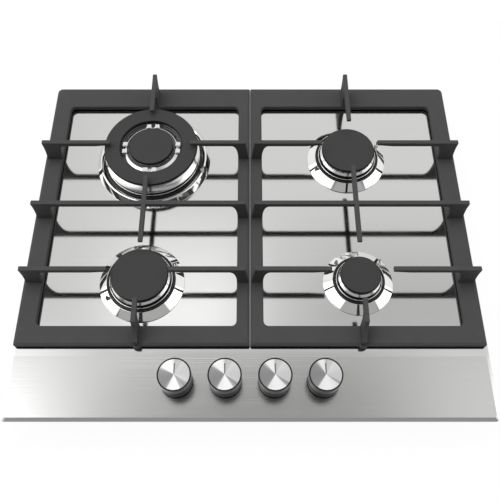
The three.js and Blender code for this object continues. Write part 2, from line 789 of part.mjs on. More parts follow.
/** Makes the large burner's double crown: two rings of ports on sloping skirts, and a channel between. */
function makeDoubleCrown(burner) {
  const { crownRadius, flangeRadius, crownTop } = burnerSizes(burner);
  const flangeBottom = flangeHeight - flangeThickness;
  const ringInner = wokCapBore + crownInset;
  const innerRadius = wokInnerCapRadius - crownInset;
  const innerBowl = innerRadius - crownWall;
  const floor = crownTop - channelDepth;
  const portFloor = crownTop - portDepth;
  const outline = [
    [mixerBore, -mixerDrop],
    [mixerBore + mixerWall, -mixerDrop],
    [mixerBore + mixerWall, flangeBottom],
    [flangeRadius, flangeBottom],
    [flangeRadius, portFloor - (flangeRadius - crownRadius)],
    [crownRadius, portFloor],
    [crownRadius, crownTop],
    [ringInner, crownTop],
    [ringInner, floor],
    [innerRadius + channelSkirt, floor],
    [innerRadius + channelSkirt, portFloor - channelSkirt],
    [innerRadius, portFloor],
    [innerRadius, crownTop],
    [innerBowl, crownTop],
    [innerBowl, crownTop - capPlugDepth - bowlFall],
    [mixerBore, crownTop - capPlugDepth - 2 * bowlFall],
  ];
  const bridgeTop = crownTop - bridgeDrop;
  const bridges = [0, 1, 2, 3].map((quarter) => block(
    [innerRadius - 1, -bridgeWidth / 2, floor - 1], [ringInner + 1, bridgeWidth / 2, bridgeTop],
  ).rotateZ((quarter * Math.PI) / 2));
  const grooves = [0, 1, 2, 3].map((quarter) => block(
    [innerRadius + channelSkirt, -bridgeGroove / 2, bridgeTop - bridgeGrooveDepth],
    [ringInner - bridgeRim, bridgeGroove / 2, bridgeTop + 1],
  ).rotateZ((quarter * Math.PI) / 2));
  const slots = [
    ...radialSlots(burner.ports, crownRadius - crownWall, crownRadius + 1, crownTop),
    ...radialSlots(channelPorts, ringInner - 1, ringInner + crownWall, crownTop, 0.5),
    ...radialSlots(channelPorts, innerBowl - 0.5, innerRadius + 1, crownTop, 0.5),
  ];
  return cut(cut(join(revolveRing(outline, burner.segments), ...bridges), grooves), slots);
}

function makeHead(burner) {
  const crown = burner.wok ? makeDoubleCrown(burner) : makeCrown(burner);
  const head = piece(`burner_head_${burner.name}`, crown, materials.aluminium);
  head.position.set(burner.x, burner.y, plateTop);
  return head;
}

/** Makes a round enamelled cap with a plug that centres it in its crown. */
function makeCap(name, burner, radius) {
  const top = burner.capTop;
  const underside = top - capThickness;
  const plugRadius = radius - crownInset - crownWall - capPlugPlay;
  const outline = [
    [0, underside - capPlugDepth],
    [plugRadius, underside - capPlugDepth],
    [plugRadius, underside],
    [radius, underside],
    [radius, top - capEdgeRadius],
    [radius - capEdgeRadius, top],
    [0, top],
  ];
  const body = revolve(outline, burner.segments).translate(burner.x, burner.y, plateTop);
  return piece(name, body, materials.enamel);
}

/** Makes the ring-shaped cap of the large burner. */
function makeRingCap(name, burner) {
  const top = burner.capTop;
  const underside = top - capThickness;
  const outline = [
    [wokCapBore, underside],
    [burner.capRadius, underside],
    [burner.capRadius, top - capEdgeRadius],
    [burner.capRadius - capEdgeRadius, top],
    [wokCapBore + capEdgeRadius, top],
    [wokCapBore, top - capEdgeRadius],
  ];
  const body = revolveRing(outline, burner.segments).translate(burner.x, burner.y, plateTop);
  return piece(name, body, materials.enamel);
}

/** Makes the ceramic spark electrode with its wire tip. */
function makeElectrode(burner) {
  const [x, y] = besideBurner(burner, burner.electrodeAngle);
  const outline = [
    [0, -electrodeDrop],
    [electrodeRadius, -electrodeDrop],
    [electrodeRadius, electrodeHeight - 1],
    [electrodeRadius - 1, electrodeHeight],
    [sparkPinRadius, electrodeHeight],
    [sparkPinRadius, electrodeHeight + sparkPinLength],
    [0, electrodeHeight + sparkPinLength],
  ];
  const body = revolve(outline, 8).translate(x, y, plateTop);
  return piece(`spark_electrode_${burner.name}`, body, materials.ceramic);
}

/** Makes the flame sensor that shuts the gas off when the flame goes out. */
function makeSensor(burner) {
  const [x, y] = besideBurner(burner, burner.sensorAngle);
  const outline = [
    [0, -electrodeDrop],
    [sensorRadius, -electrodeDrop],
    [sensorRadius, sensorHeight - sensorTip],
    [sensorRadius * 0.7, sensorHeight - sensorTip * 0.8],
    [sensorRadius * 0.7, sensorHeight],
    [0, sensorHeight],
  ];
  const body = revolve(outline, 8).translate(x, y, plateTop);
  return piece(`flame_sensor_${burner.name}`, body, materials.brass);
}

// ---------------------------------------------------------------------------
// Controls and gas way
// ---------------------------------------------------------------------------

function makeKnob(number, x) {
  const bottom = knobTravel + clearance;
  const socketTop = knobTop - stemSocket;
  const outline = [
    [stemRadius + clearance, bottom],
    [knobRadius, bottom],
    [knobRadius, knobTop - knobChamfer],
    [knobRadius - knobChamfer, knobTop],
    [0, knobTop],
    [0, socketTop],
    [stemRadius + clearance, socketTop],
  ];
  const pointer = block(
    [-pointerWidth / 2, 0, knobTop - pointerDepth],
    [pointerWidth / 2, knobRadius - pointerMargin, knobTop + 1]);
  const body = cut(toSolid(revolveRing(outline, 20)), [pointer]);
  const knob = piece(`knob_${number}`, body, materials.chrome);
  knob.position.set(x, knobY, plateTop);
  return knob;
}

function makeStem(number, x) {
  const top = plateTop + knobTop - stemSocket - clearance;
  const body = upright(stemRadius, valveTop - stemEngagement, top, 12).translate(x, knobY, 0);
  return piece(`knob_stem_${number}`, body, materials.galvanised);
}

function makeSwitchCollar(number, x) {
  const bottom = valveTop + knobTravel + collarGapBelow;
  const outline = [
    [stemRadius + clearance, bottom],
    [collarRadius, bottom],
    [collarRadius, bottom + collarHeight],
    [stemRadius + clearance, bottom + collarHeight],
  ];
  return piece(`switch_collar_${number}`, revolveRing(outline, 8).translate(x, knobY, 0), materials.plastic);
}

function makeValve(number, x) {
  const body = block(
    [x - valveWidth / 2, knobY - valveDepth / 2, valveTop - valveHeight],
    [x + valveWidth / 2, knobY + valveDepth / 2, valveTop]);
  const bore = drill(stemRadius + clearance, valveTop - stemEngagement - knobTravel - 1, valveTop + 1, 12)
    .translate(x, knobY, 0);
  return piece(`gas_valve_${number}`, cut(toSolid(body), [bore]), materials.brass);
}

function makeManifold() {
  const railY = knobY - valveDepth / 2 - clearance - manifoldRadius;
  const startX = knobXs[0] - manifoldOverrun;
  const corner = new THREE.Vector3(manifoldSideX, railY, manifoldZ);
  const path = new THREE.CurvePath();
  const beforeBend = new THREE.Vector3(manifoldSideX - manifoldBend, railY, manifoldZ);
  const afterBend = new THREE.Vector3(manifoldSideX, railY + manifoldBend, manifoldZ);
  const end = new THREE.Vector3(manifoldSideX, shelfCentreY + manifoldRadius, manifoldZ);
  path.add(new THREE.LineCurve3(new THREE.Vector3(startX, railY, manifoldZ), beforeBend));
  path.add(new THREE.QuadraticBezierCurve3(beforeBend, corner, afterBend));
  path.add(new THREE.LineCurve3(afterBend, end));
  return piece('gas_manifold', tube(path, manifoldRadius, 8, 16), materials.galvanised);
}

/** Makes the gas connection that points down from the end of the manifold through the tray. */
function makeInlet() {
  const nutBottom = trayShelfHeight + traySheet + clearance;
  const nutTop = manifoldZ - manifoldRadius - clearance;
  const outline = [
    [inletBore, trayShelfHeight - inletLength],
    [inletRadius, trayShelfHeight - inletLength],
    [inletRadius, nutBottom],
    [inletNutRadius, nutBottom],
    [inletNutRadius, nutTop],
    [inletBore, nutTop],
  ];
  const body = revolveRing(outline, 12).translate(manifoldSideX, shelfCentreY, 0);
  return piece('gas_inlet', body, materials.brass);
}

function makeFeedTube(number, x) {
  const burner = burners.find((candidate) => candidate.name === valveOrder[number - 1]);
  const start = new THREE.Vector3(x, knobY + valveDepth / 2 + clearance, feedZ);
  const end = new THREE.Vector3(burner.x, burner.y - burner.bodyRadius - clearance, feedZ);
  const reach = (end.y - start.y) * 0.5;
  const path = new THREE.CubicBezierCurve3(
    start, start.clone().setY(start.y + reach), end.clone().setY(end.y - reach), end);
  return piece(`feed_tube_${number}`, tube(path, feedRadius, 6, 8), materials.aluminium);
}

function makeIgnitionModule() {
  const floor = traySheet + clearance;
  return piece('ignition_module', loft([
    { width: moduleWidth, depth: moduleDepth, radius: 3, z: floor },
    { width: moduleWidth, depth: moduleDepth, radius: 3, z: floor + moduleHeight - moduleBevel },
    {
      width: moduleWidth - 2 * moduleBevel, depth: moduleDepth - 2 * moduleBevel, radius: 2,
      z: floor + moduleHeight,
    },
  ], 2).translate(0, moduleY, 0), materials.plastic);
}

/** Makes the gland through which the supply cable would enter. */
function makeCableGland() {
  const floor = trayShelfHeight + traySheet + clearance;
  const outline = [
    [glandBore, trayShelfHeight - glandLength],
    [glandRadius, trayShelfHeight - glandLength],
    [glandRadius, floor],
    [glandRadius + glandFlange, floor],
    [glandRadius + glandFlange, floor + glandFlangeHeight],
    [glandBore, floor + glandFlangeHeight],
  ];
  return piece('cable_gland', revolveRing(outline, 12).translate(glandX, shelfCentreY, 0), materials.plastic);
}

// ---------------------------------------------------------------------------
// Assembly
// ---------------------------------------------------------------------------

const cooktop = new THREE.Group();
cooktop.add(makeTopPlate(), makeRimSeal(), makeBottomTray());
[[-1, -1], [1, -1], [-1, 1], [1, 1]].forEach(([xSide, ySide], i) => {
  cooktop.add(makeClamp(`worktop_clamp_${i + 1}`, (xSide * clampSpacing) / 2, ySide));
});
cooktop.add(makeGrate('grate_left', -1), makeGrate('grate_right', 1));
for (const burner of burners) {
  cooktop.add(makeCup(burner), makeBezel(burner), makeHead(burner));
  cooktop.add(makeElectrode(burner), makeSensor(burner));
  if (burner.wok) {
    cooktop.add(makeRingCap(`burner_ring_cap_${burner.name}`, burner));
    cooktop.add(makeCap(`burner_inner_cap_${burner.name}`, burner, wokInnerCapRadius));
  } else {
    cooktop.add(makeCap(`burner_cap_${burner.name}`, burner, burner.capRadius));
  }
}
knobXs.forEach((x, i) => {
  const number = i + 1;
  cooktop.add(makeKnob(number, x), makeStem(number, x), makeSwitchCollar(number, x), makeValve(number, x));
  cooktop.add(makeFeedTube(number, x));
});
cooktop.add(makeManifold(), makeInlet(), makeIgnitionModule(), makeCableGland());

export default cooktop;
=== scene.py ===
"""Dresses a built-in gas cooktop with fine meshes, finishes, studio light and a camera.

Everything is in metres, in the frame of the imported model: X runs right, Y runs to the back
and Z runs up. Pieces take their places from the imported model's nodes.
"""

import logging
import math
from collections.abc import Callable, Sequence
from dataclasses import dataclass
from enum import Enum
from functools import cache

import bmesh
import bpy
from bmesh.types import BMEdge, BMesh, BMVert
from bpy.types import Material, Node, NodeSocket, Object
from mathutils import Matrix, Vector


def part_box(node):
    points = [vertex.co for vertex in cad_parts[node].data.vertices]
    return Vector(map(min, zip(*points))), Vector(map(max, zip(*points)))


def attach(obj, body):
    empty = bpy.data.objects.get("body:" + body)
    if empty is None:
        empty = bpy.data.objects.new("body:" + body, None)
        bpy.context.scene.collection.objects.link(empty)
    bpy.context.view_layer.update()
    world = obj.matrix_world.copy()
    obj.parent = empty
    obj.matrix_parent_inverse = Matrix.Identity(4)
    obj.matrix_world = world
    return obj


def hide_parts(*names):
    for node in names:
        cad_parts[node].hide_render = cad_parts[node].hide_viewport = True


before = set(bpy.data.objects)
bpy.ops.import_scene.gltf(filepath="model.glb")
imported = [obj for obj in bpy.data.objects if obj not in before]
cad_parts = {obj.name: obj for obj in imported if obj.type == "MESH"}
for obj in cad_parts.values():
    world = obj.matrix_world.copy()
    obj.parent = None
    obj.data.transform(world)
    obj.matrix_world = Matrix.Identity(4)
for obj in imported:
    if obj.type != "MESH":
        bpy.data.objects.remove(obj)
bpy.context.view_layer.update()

MM = 0.001
FULL_TURN = 2 * math.pi
UP = Vector((0, 0, 1))
ON_AXIS = 1e-7
WELD_DISTANCE = 1e-6
CORNER_STEPS = 4
BOX_CORNER_STEPS = 8
CURVE_STEPS = 8
LOG = logging.getLogger("cooktop")

Point = tuple[float, float]
Corner = tuple[float, float, float]
Colour = tuple[float, float, float]


# ---------------------------------------------------------------------------
# Shader node helpers and the groups that several finishes share
# ---------------------------------------------------------------------------


class NodeTree:
    """Adds and links nodes in one tree with less typing."""

    def __init__(self, tree: bpy.types.NodeTree) -> None:
        """Wraps a node tree.

        Args:
            tree: The tree that the nodes go into.
        """
        self.tree = tree

    @property
    def shader(self) -> Node:
        """The Principled BSDF node of a material's tree."""
        return self.tree.nodes["Principled BSDF"]

    def add(self, kind: str, inputs: dict | None = None, **settings: object) -> Node:
        """Adds a node.

        Args:
            kind: The node's type name.
            inputs: Values or output sockets, by the name or number of the input.
            **settings: Properties of the node itself.

        Returns:
            The new node.
        """
        node = self.tree.nodes.new(kind)
        for name, value in settings.items():
            setattr(node, name, value)
        for name, value in (inputs or {}).items():
            if isinstance(value, NodeSocket):
                self.link(value, node, name)
            else:
                node.inputs[name].default_value = value
        return node

    def math(self, operation: str, *values: object, clamp: bool = False) -> NodeSocket:
        """Adds a Math node.

        Args:
            operation: The operation's name.
            *values: Numbers or output sockets.
            clamp: Whether the result is kept between 0 and 1.

        Returns:
            The node's output.
        """
        inputs = dict(enumerate(values))
        return self.add("ShaderNodeMath", inputs, operation=operation, use_clamp=clamp).outputs[0]

    def blend_colours(self, factor: object, first: object, second: object) -> NodeSocket:
        """Mixes two colours, where the factor is the share of the second."""
        inputs = {0: factor, 6: first, 7: second}
        return self.add("ShaderNodeMix", inputs, data_type="RGBA").outputs[2]

    def link(self, output: NodeSocket, node: Node, name: str | int) -> None:
        """Links an output to a node's input, given by its name or number."""
        self.tree.links.new(output, node.inputs[name])

    def object_place(self) -> NodeSocket:
        """Adds the place in the object's own coordinates."""
        return self.add("ShaderNodeTexCoord").outputs["Object"]

    def split(self, vector: object) -> bpy.types.bpy_prop_collection:
        """Splits a vector into its outputs X, Y and Z."""
        return self.add("ShaderNodeSeparateXYZ", {"Vector": vector}).outputs

    def noise(self, place: object, scale: object, detail: float, distortion: float = 0.0) -> NodeSocket:
        """Adds a noise texture and gives its value from 0 to 1."""
        inputs = {"Vector": place, "Scale": scale, "Detail": detail, "Distortion": distortion}
        return self.add("ShaderNodeTexNoise", inputs).outputs["Fac"]


class SharedGroup(Enum):
    """The effects that more than one finish uses, each a node group built once."""

    GRAIN = "cast_grain"
    STREAKS = "brush_streaks"
    SMUDGES = "handling_smudges"

    def place(self, tree: NodeTree, **values: object) -> Node:
        """Puts the group into a material.

        Args:
            tree: The material's tree.
            **values: The group's inputs by name, with underscores for spaces.

        Returns:
            The group node.
        """
        group = bpy.data.node_groups.get(self.value) or GROUP_MAKERS[self]()
        node = tree.add("ShaderNodeGroup", node_tree=group)
        for name, value in values.items():
            node.inputs[name.replace("_", " ").title()].default_value = value
        return node


def start_group(
    group: SharedGroup, inputs: dict[str, object], outputs: Sequence[str]
) -> tuple[NodeTree, Node, Node]:
    """Starts a node group with its sockets.

    Args:
        group: Which group it is.
        inputs: The default value of each input by name.
        outputs: The names of the outputs, which are all plain numbers.

    Returns:
        The group's tree, its input node and its output node.
    """
    tree = bpy.data.node_groups.new(group.value, "ShaderNodeTree")
    for name, value in inputs.items():
        kind = "NodeSocketFloat" if isinstance(value, float) else "NodeSocketVector"
        tree.interface.new_socket(name, in_out="INPUT", socket_type=kind).default_value = value
    for name in outputs:
        tree.interface.new_socket(name, in_out="OUTPUT", socket_type="NodeSocketFloat")
    nodes = NodeTree(tree)
    return nodes, nodes.add("NodeGroupInput"), nodes.add("NodeGroupOutput")


def make_grain_group() -> bpy.types.NodeTree:
    """Builds the grain of cast and sprayed surfaces.

    Returns:
        The group, with a height for a bump and a mottling value from 0 to 1.
    """
    mottle_size, contrast, pit_depth = 20 * MM, 0.5, 0.4
    nodes, source, sink = start_group(SharedGroup.GRAIN, {"Grain Size": 0.8 * MM}, ("Height", "Mottle"))
    place = nodes.object_place()
    scale = nodes.math("DIVIDE", 1.0, source.outputs["Grain Size"])
    pits = nodes.add("ShaderNodeTexVoronoi", {"Vector": place, "Scale": scale}).outputs["Distance"]
    height = nodes.math("ADD", nodes.noise(place, scale, 3.0), nodes.math("MULTIPLY", pits, pit_depth))
    centred = nodes.math("SUBTRACT", nodes.noise(place, 1 / mottle_size, 4.0), 0.5)
    mottle = nodes.math("ADD", nodes.math("MULTIPLY", centred, contrast), 0.5, clamp=True)
    nodes.link(height, sink, "Height")
    nodes.link(mottle, sink, "Mottle")
    return nodes.tree


def make_streak_group() -> bpy.types.NodeTree:
    """Builds the fine parallel lines of brushed metal.

    Returns:
        The group, with a streak value from 0 to 1 and a height for a bump.
    """
    coarse_scale, coarse_share = 0.23, 0.8
    nodes, source, sink = start_group(
        SharedGroup.STREAKS, {"Stretch": (4.0, 900.0, 900.0)}, ("Streak", "Height"))
    stretch = {"Vector": nodes.object_place(), "Scale": source.outputs["Stretch"]}
    place = nodes.add("ShaderNodeMapping", stretch).outputs[0]
    fine, coarse = nodes.noise(place, 1.0, 4.0), nodes.noise(place, coarse_scale, 2.0)
    both = nodes.math("ADD", fine, nodes.math("MULTIPLY", coarse, coarse_share))
    nodes.link(nodes.math("MULTIPLY", both, 1 / (1 + coarse_share), clamp=True), sink, "Streak")
    nodes.link(fine, sink, "Height")
    return nodes.tree


def make_smudge_group() -> bpy.types.NodeTree:
    """Builds the faint uneven sheen that wiping and handling leave.

    Returns:
        The group, with a smudge value from 0 to 1.
    """
    clean_share, contrast = 0.5, 3.0
    nodes, source, sink = start_group(SharedGroup.SMUDGES, {"Smudge Size": 45 * MM}, ("Smudge",))
    scale = nodes.math("DIVIDE", 1.0, source.outputs["Smudge Size"])
    noise = nodes.noise(nodes.object_place(), scale, 5.0, distortion=0.6)
    lifted = nodes.math("SUBTRACT", noise, clean_share)
    nodes.link(nodes.math("MULTIPLY", lifted, contrast, clamp=True), sink, "Smudge")
    return nodes.tree


GROUP_MAKERS: dict[SharedGroup, Callable[[], bpy.types.NodeTree]] = {
    SharedGroup.GRAIN: make_grain_group,
    SharedGroup.STREAKS: make_streak_group,
    SharedGroup.SMUDGES: make_smudge_group,
}


# ---------------------------------------------------------------------------
# Finishes
# ---------------------------------------------------------------------------


@dataclass(frozen=True)
class Finish:
    """What all finishes have: a name, a colour, a roughness and a share of metal."""

    name: str
    colour: Colour
    roughness: float
    metallic: float = 0.0

    def material(self) -> Material:
        """Gives the finish's material and builds it the first time.

        Returns:
            The material.
        """
        made = bpy.data.materials.get(self.name)
        if made is not None:
            return made
        made = bpy.data.materials.new(self.name)
        made.use_nodes = True
        nodes = NodeTree(made.node_tree)
        inputs = nodes.shader.inputs
        inputs["Base Color"].default_value = (*self.colour, 1.0)
        inputs["Roughness"].default_value = self.roughness
        inputs["Metallic"].default_value = self.metallic
        self.dress(nodes)
        return made

    def dress(self, nodes: NodeTree) -> None:
        """Adds the detail of one kind of finish.

        Args:
            nodes: The material's tree.
        """
        raise NotImplementedError

    def shade(self, factor: float) -> tuple[float, float, float, float]:
        """Gives the colour times a factor, with full alpha."""
        return (*(min(1.0, channel * factor) for channel in self.colour), 1.0)

    def vary_colour(self, nodes: NodeTree, factor: object, depth: float) -> None:
        """Varies the base colour between a darker and a lighter shade.

        Args:
            nodes: The material's tree.
            factor: The output that varies from 0 to 1.
            depth: How far the shades lie from the colour, as a share of it.
        """
        mixed = nodes.blend_colours(factor, self.shade(1 - depth), self.shade(1 + depth))
        nodes.link(mixed, nodes.shader, "Base Color")

    def vary_roughness(self, nodes: NodeTree, factor: object, depth: float) -> None:
        """Raises the roughness with a factor.

        Args:
            nodes: The material's tree.
            factor: The output that varies from 0 to 1.
            depth: How much roughness a factor of 1 adds.
        """
        added = nodes.math("MULTIPLY_ADD", factor, depth, self.roughness)
        nodes.link(added, nodes.shader, "Roughness")

    @staticmethod
    def add_bump(nodes: NodeTree, height: object, depth: float) -> None:
        """Adds a bump to the surface.

        Args:
            nodes: The material's tree.
            height: The output with the height from 0 to 1.
            depth: The real depth in metres.
        """
        bump = nodes.add("ShaderNodeBump", {"Height": height, "Distance": depth})
        nodes.link(bump.outputs["Normal"], nodes.shader, "Normal")


@dataclass(frozen=True)
class CastFinish(Finish):
    """Enamelled or sprayed castings and mouldings, with a fine grain."""

    grain: float = 0.8 * MM
    depth: float = 0.02 * MM
    mottle: float = 0.15
    sheen_spread: float = 0.08
    specular: float = 0.5
    # Painted shade on walls and undersides: the colour's factor where the normal's height is at or below the
    # first limit, rising to full colour at the second.
    painted_wall_shade: float = 1.0
    painted_shade_limits: Point = (0.2, 0.75)

    def dress(self, nodes: NodeTree) -> None:
        """Adds grain, a mottle in the colour, painted shade that darkens walls and undersides against the
        tops, and an uneven sheen.

        Args:
            nodes: The material's tree.
        """
        grain = SharedGroup.GRAIN.place(nodes, grain_size=self.grain)
        base_colour = nodes.blend_colours(
            grain.outputs["Mottle"], self.shade(1 - self.mottle), self.shade(1 + self.mottle))
        # Painted shade: the colour darkens as the surface turns from facing up towards facing sideways and
        # down, standing in for the shade on walls and undersides.
        if self.painted_wall_shade < 1:
            normal = nodes.add("ShaderNodeNewGeometry").outputs["Normal"]
            painted_shade = nodes.add("ShaderNodeMapRange", {
                "Value": nodes.split(normal)["Z"],
                "From Min": self.painted_shade_limits[0], "From Max": self.painted_shade_limits[1],
                "To Min": self.painted_wall_shade, "To Max": 1.0,
            }).outputs["Result"]
            product = nodes.add("ShaderNodeVectorMath", {0: base_colour, 1: painted_shade}, operation="MULTIPLY")
            base_colour = product.outputs[0]
        nodes.link(base_colour, nodes.shader, "Base Color")
        smudge = SharedGroup.SMUDGES.place(nodes)
        self.vary_roughness(nodes, smudge.outputs["Smudge"], self.sheen_spread)
        self.add_bump(nodes, grain.outputs["Height"], self.depth)
        nodes.shader.inputs["Specular IOR Level"].default_value = self.specular


@dataclass(frozen=True)
class BrushedFinish(Finish):
    """Sheet metal with fine lines along one direction."""

    stretch: Corner = (5.0, 1400.0, 1400.0)
    streak_depth: float = 0.03
    streak_roughness: float = 0.06
    smudge: float = 0.03
    panel_rear: float = -0.175
    panel_roughness: float = 0.06
    # How much darker the front panel's colour is: painted shade for its dimmer reflection.
    painted_panel_shade: float = 0.04
    panel_bump: float = 0.045 * MM

    def dress(self, nodes: NodeTree) -> None:
        """Adds streaks to the colour and the roughness, brushes the front panel more coarsely and darkens
        the panel's colour with painted shade.

        Args:
            nodes: The material's tree.
        """
        streaks = SharedGroup.STREAKS.place(nodes, stretch=self.stretch)
        smudge = SharedGroup.SMUDGES.place(nodes)
        wiped = nodes.math("MULTIPLY", smudge.outputs["Smudge"], self.smudge / self.streak_roughness)
        along = nodes.split(nodes.object_place())["Y"]
        panel = nodes.math("LESS_THAN", along, self.panel_rear)
        # Painted shade: the front panel's colour is made a little darker than the plate behind it, standing
        # in for its dimmer reflection.
        darker = nodes.math(
            "MULTIPLY_ADD", panel, -self.painted_panel_shade / (2 * self.streak_depth), streaks.outputs["Streak"])
        self.vary_colour(nodes, darker, self.streak_depth)
        coarse = nodes.math("MULTIPLY_ADD", panel, self.panel_roughness / self.streak_roughness, wiped)
        both = nodes.math("ADD", coarse, streaks.outputs["Streak"])
        self.vary_roughness(nodes, both, self.streak_roughness)
        height = nodes.math("MULTIPLY", panel, streaks.outputs["Height"])
        self.add_bump(nodes, height, self.panel_bump)


@dataclass(frozen=True)
class PolishedFinish(Finish):
    """Polished or plated metal with a trace of handling."""

    haze: float = 0.05
    shade_spread: float = 0.02
    smudge_size: float = 14 * MM

    def dress(self, nodes: NodeTree) -> None:
        """Adds faint smudges to the polish.

        Args:
            nodes: The material's tree.
        """
        smudge = SharedGroup.SMUDGES.place(nodes, smudge_size=self.smudge_size)
        self.vary_roughness(nodes, smudge.outputs["Smudge"], self.haze)
        self.vary_colour(nodes, smudge.outputs["Smudge"], self.shade_spread)


@dataclass(frozen=True)
class PaintedWedge:
    """A wedge painted into the colour of a turned face, seen from above: a bright one is a painted
    highlight, a dark one painted shade.

    The angles run anticlockwise from the right, in degrees. Drift and growth say how much the
    middle and the half width change along the row of knobs, in degrees for every metre to the
    right.
    """

    angle: float
    half_width: float
    softness: float
    level: float
    drift: float = 0.0
    growth: float = 0.0


@dataclass(frozen=True)
class TurnedFinish(Finish):
    """A face turned on a lathe, whose fine rings spread its highlights, with wedges of painted highlight and
    painted shade in its colour that stay put as it turns.
    """

    anisotropy: float = 0.6
    wedges: tuple[PaintedWedge, ...] = ()

    def dress(self, nodes: NodeTree) -> None:
        """Adds the painted highlight and shade wedges, the spread of the highlights and the fine rings.

        Args:
            nodes: The material's tree.
        """
        # Painted highlight and shade: the wedges go into the base colour.
        sheen = nodes.add("ShaderNodeGroup", node_tree=self.painted_sheen_group())
        nodes.link(sheen.outputs["Colour"], nodes.shader, "Base Color")
        tangent = nodes.add("ShaderNodeTangent", direction_type="RADIAL", axis="Z")
        nodes.link(tangent.outputs["Tangent"], nodes.shader, "Tangent")
        nodes.shader.inputs["Anisotropic"].default_value = self.anisotropy

    def painted_sheen_group(self) -> bpy.types.NodeTree:
        """Builds the group that paints every wedge's highlight and shade into the colour.

        Returns:
            The group, with the face's colour and its painted highlights and shade.
        """
        tree = bpy.data.node_groups.new(f"{self.name}_sheen", "ShaderNodeTree")
        tree.interface.new_socket("Colour", in_out="OUTPUT", socket_type="NodeSocketColor")
        nodes = NodeTree(tree)
        normal = nodes.add("ShaderNodeNewGeometry").outputs["Normal"]
        parts = nodes.split(normal)
        angle = nodes.math("ARCTAN2", parts["Y"], parts["X"])
        along = nodes.split(nodes.object_place())["X"]
        level: object = 0.0
        for wedge in self.wedges:
            centre, reach = (
                nodes.math("MULTIPLY_ADD", along, math.radians(slope), math.radians(value))
                for slope, value in (
                    (wedge.drift, wedge.angle), (wedge.growth, wedge.half_width + wedge.softness / 2)))
            off = nodes.math("SUBTRACT", angle, centre)
            near = nodes.math("ARCCOSINE", nodes.math("COSINE", off))
            edge = nodes.math("SUBTRACT", reach, near)
            share = nodes.math("DIVIDE", edge, math.radians(wedge.softness), clamp=True)
            level = nodes.math("MULTIPLY_ADD", share, wedge.level, level)
        # A level of 0 is the middle of the blend, where the finish keeps its own colour.
        factor = nodes.math("ADD", level, 0.5, clamp=True)
        colour = nodes.blend_colours(factor, self.shade(0.0), self.shade(2.0))
        nodes.add("NodeGroupOutput", {"Colour": colour})
        return tree


@dataclass(frozen=True)
class GalvanisedFinish(Finish):
    """Zinc-coated sheet with its pale crystals."""

    crystal: float = 9 * MM
    crystal_shade: float = 0.12
    crystal_roughness: float = 0.12

    def dress(self, nodes: NodeTree) -> None:
        """Adds crystals to the colour and the roughness.

        Args:
            nodes: The material's tree.
        """
        place = nodes.object_place()
        cells = nodes.add("ShaderNodeTexVoronoi", {"Vector": place, "Scale": 1 / self.crystal})
        value = nodes.add("ShaderNodeSeparateColor", {"Color": cells.outputs["Color"]}).outputs["Red"]
        self.vary_colour(nodes, value, self.crystal_shade)
        self.vary_roughness(nodes, value, self.crystal_roughness)


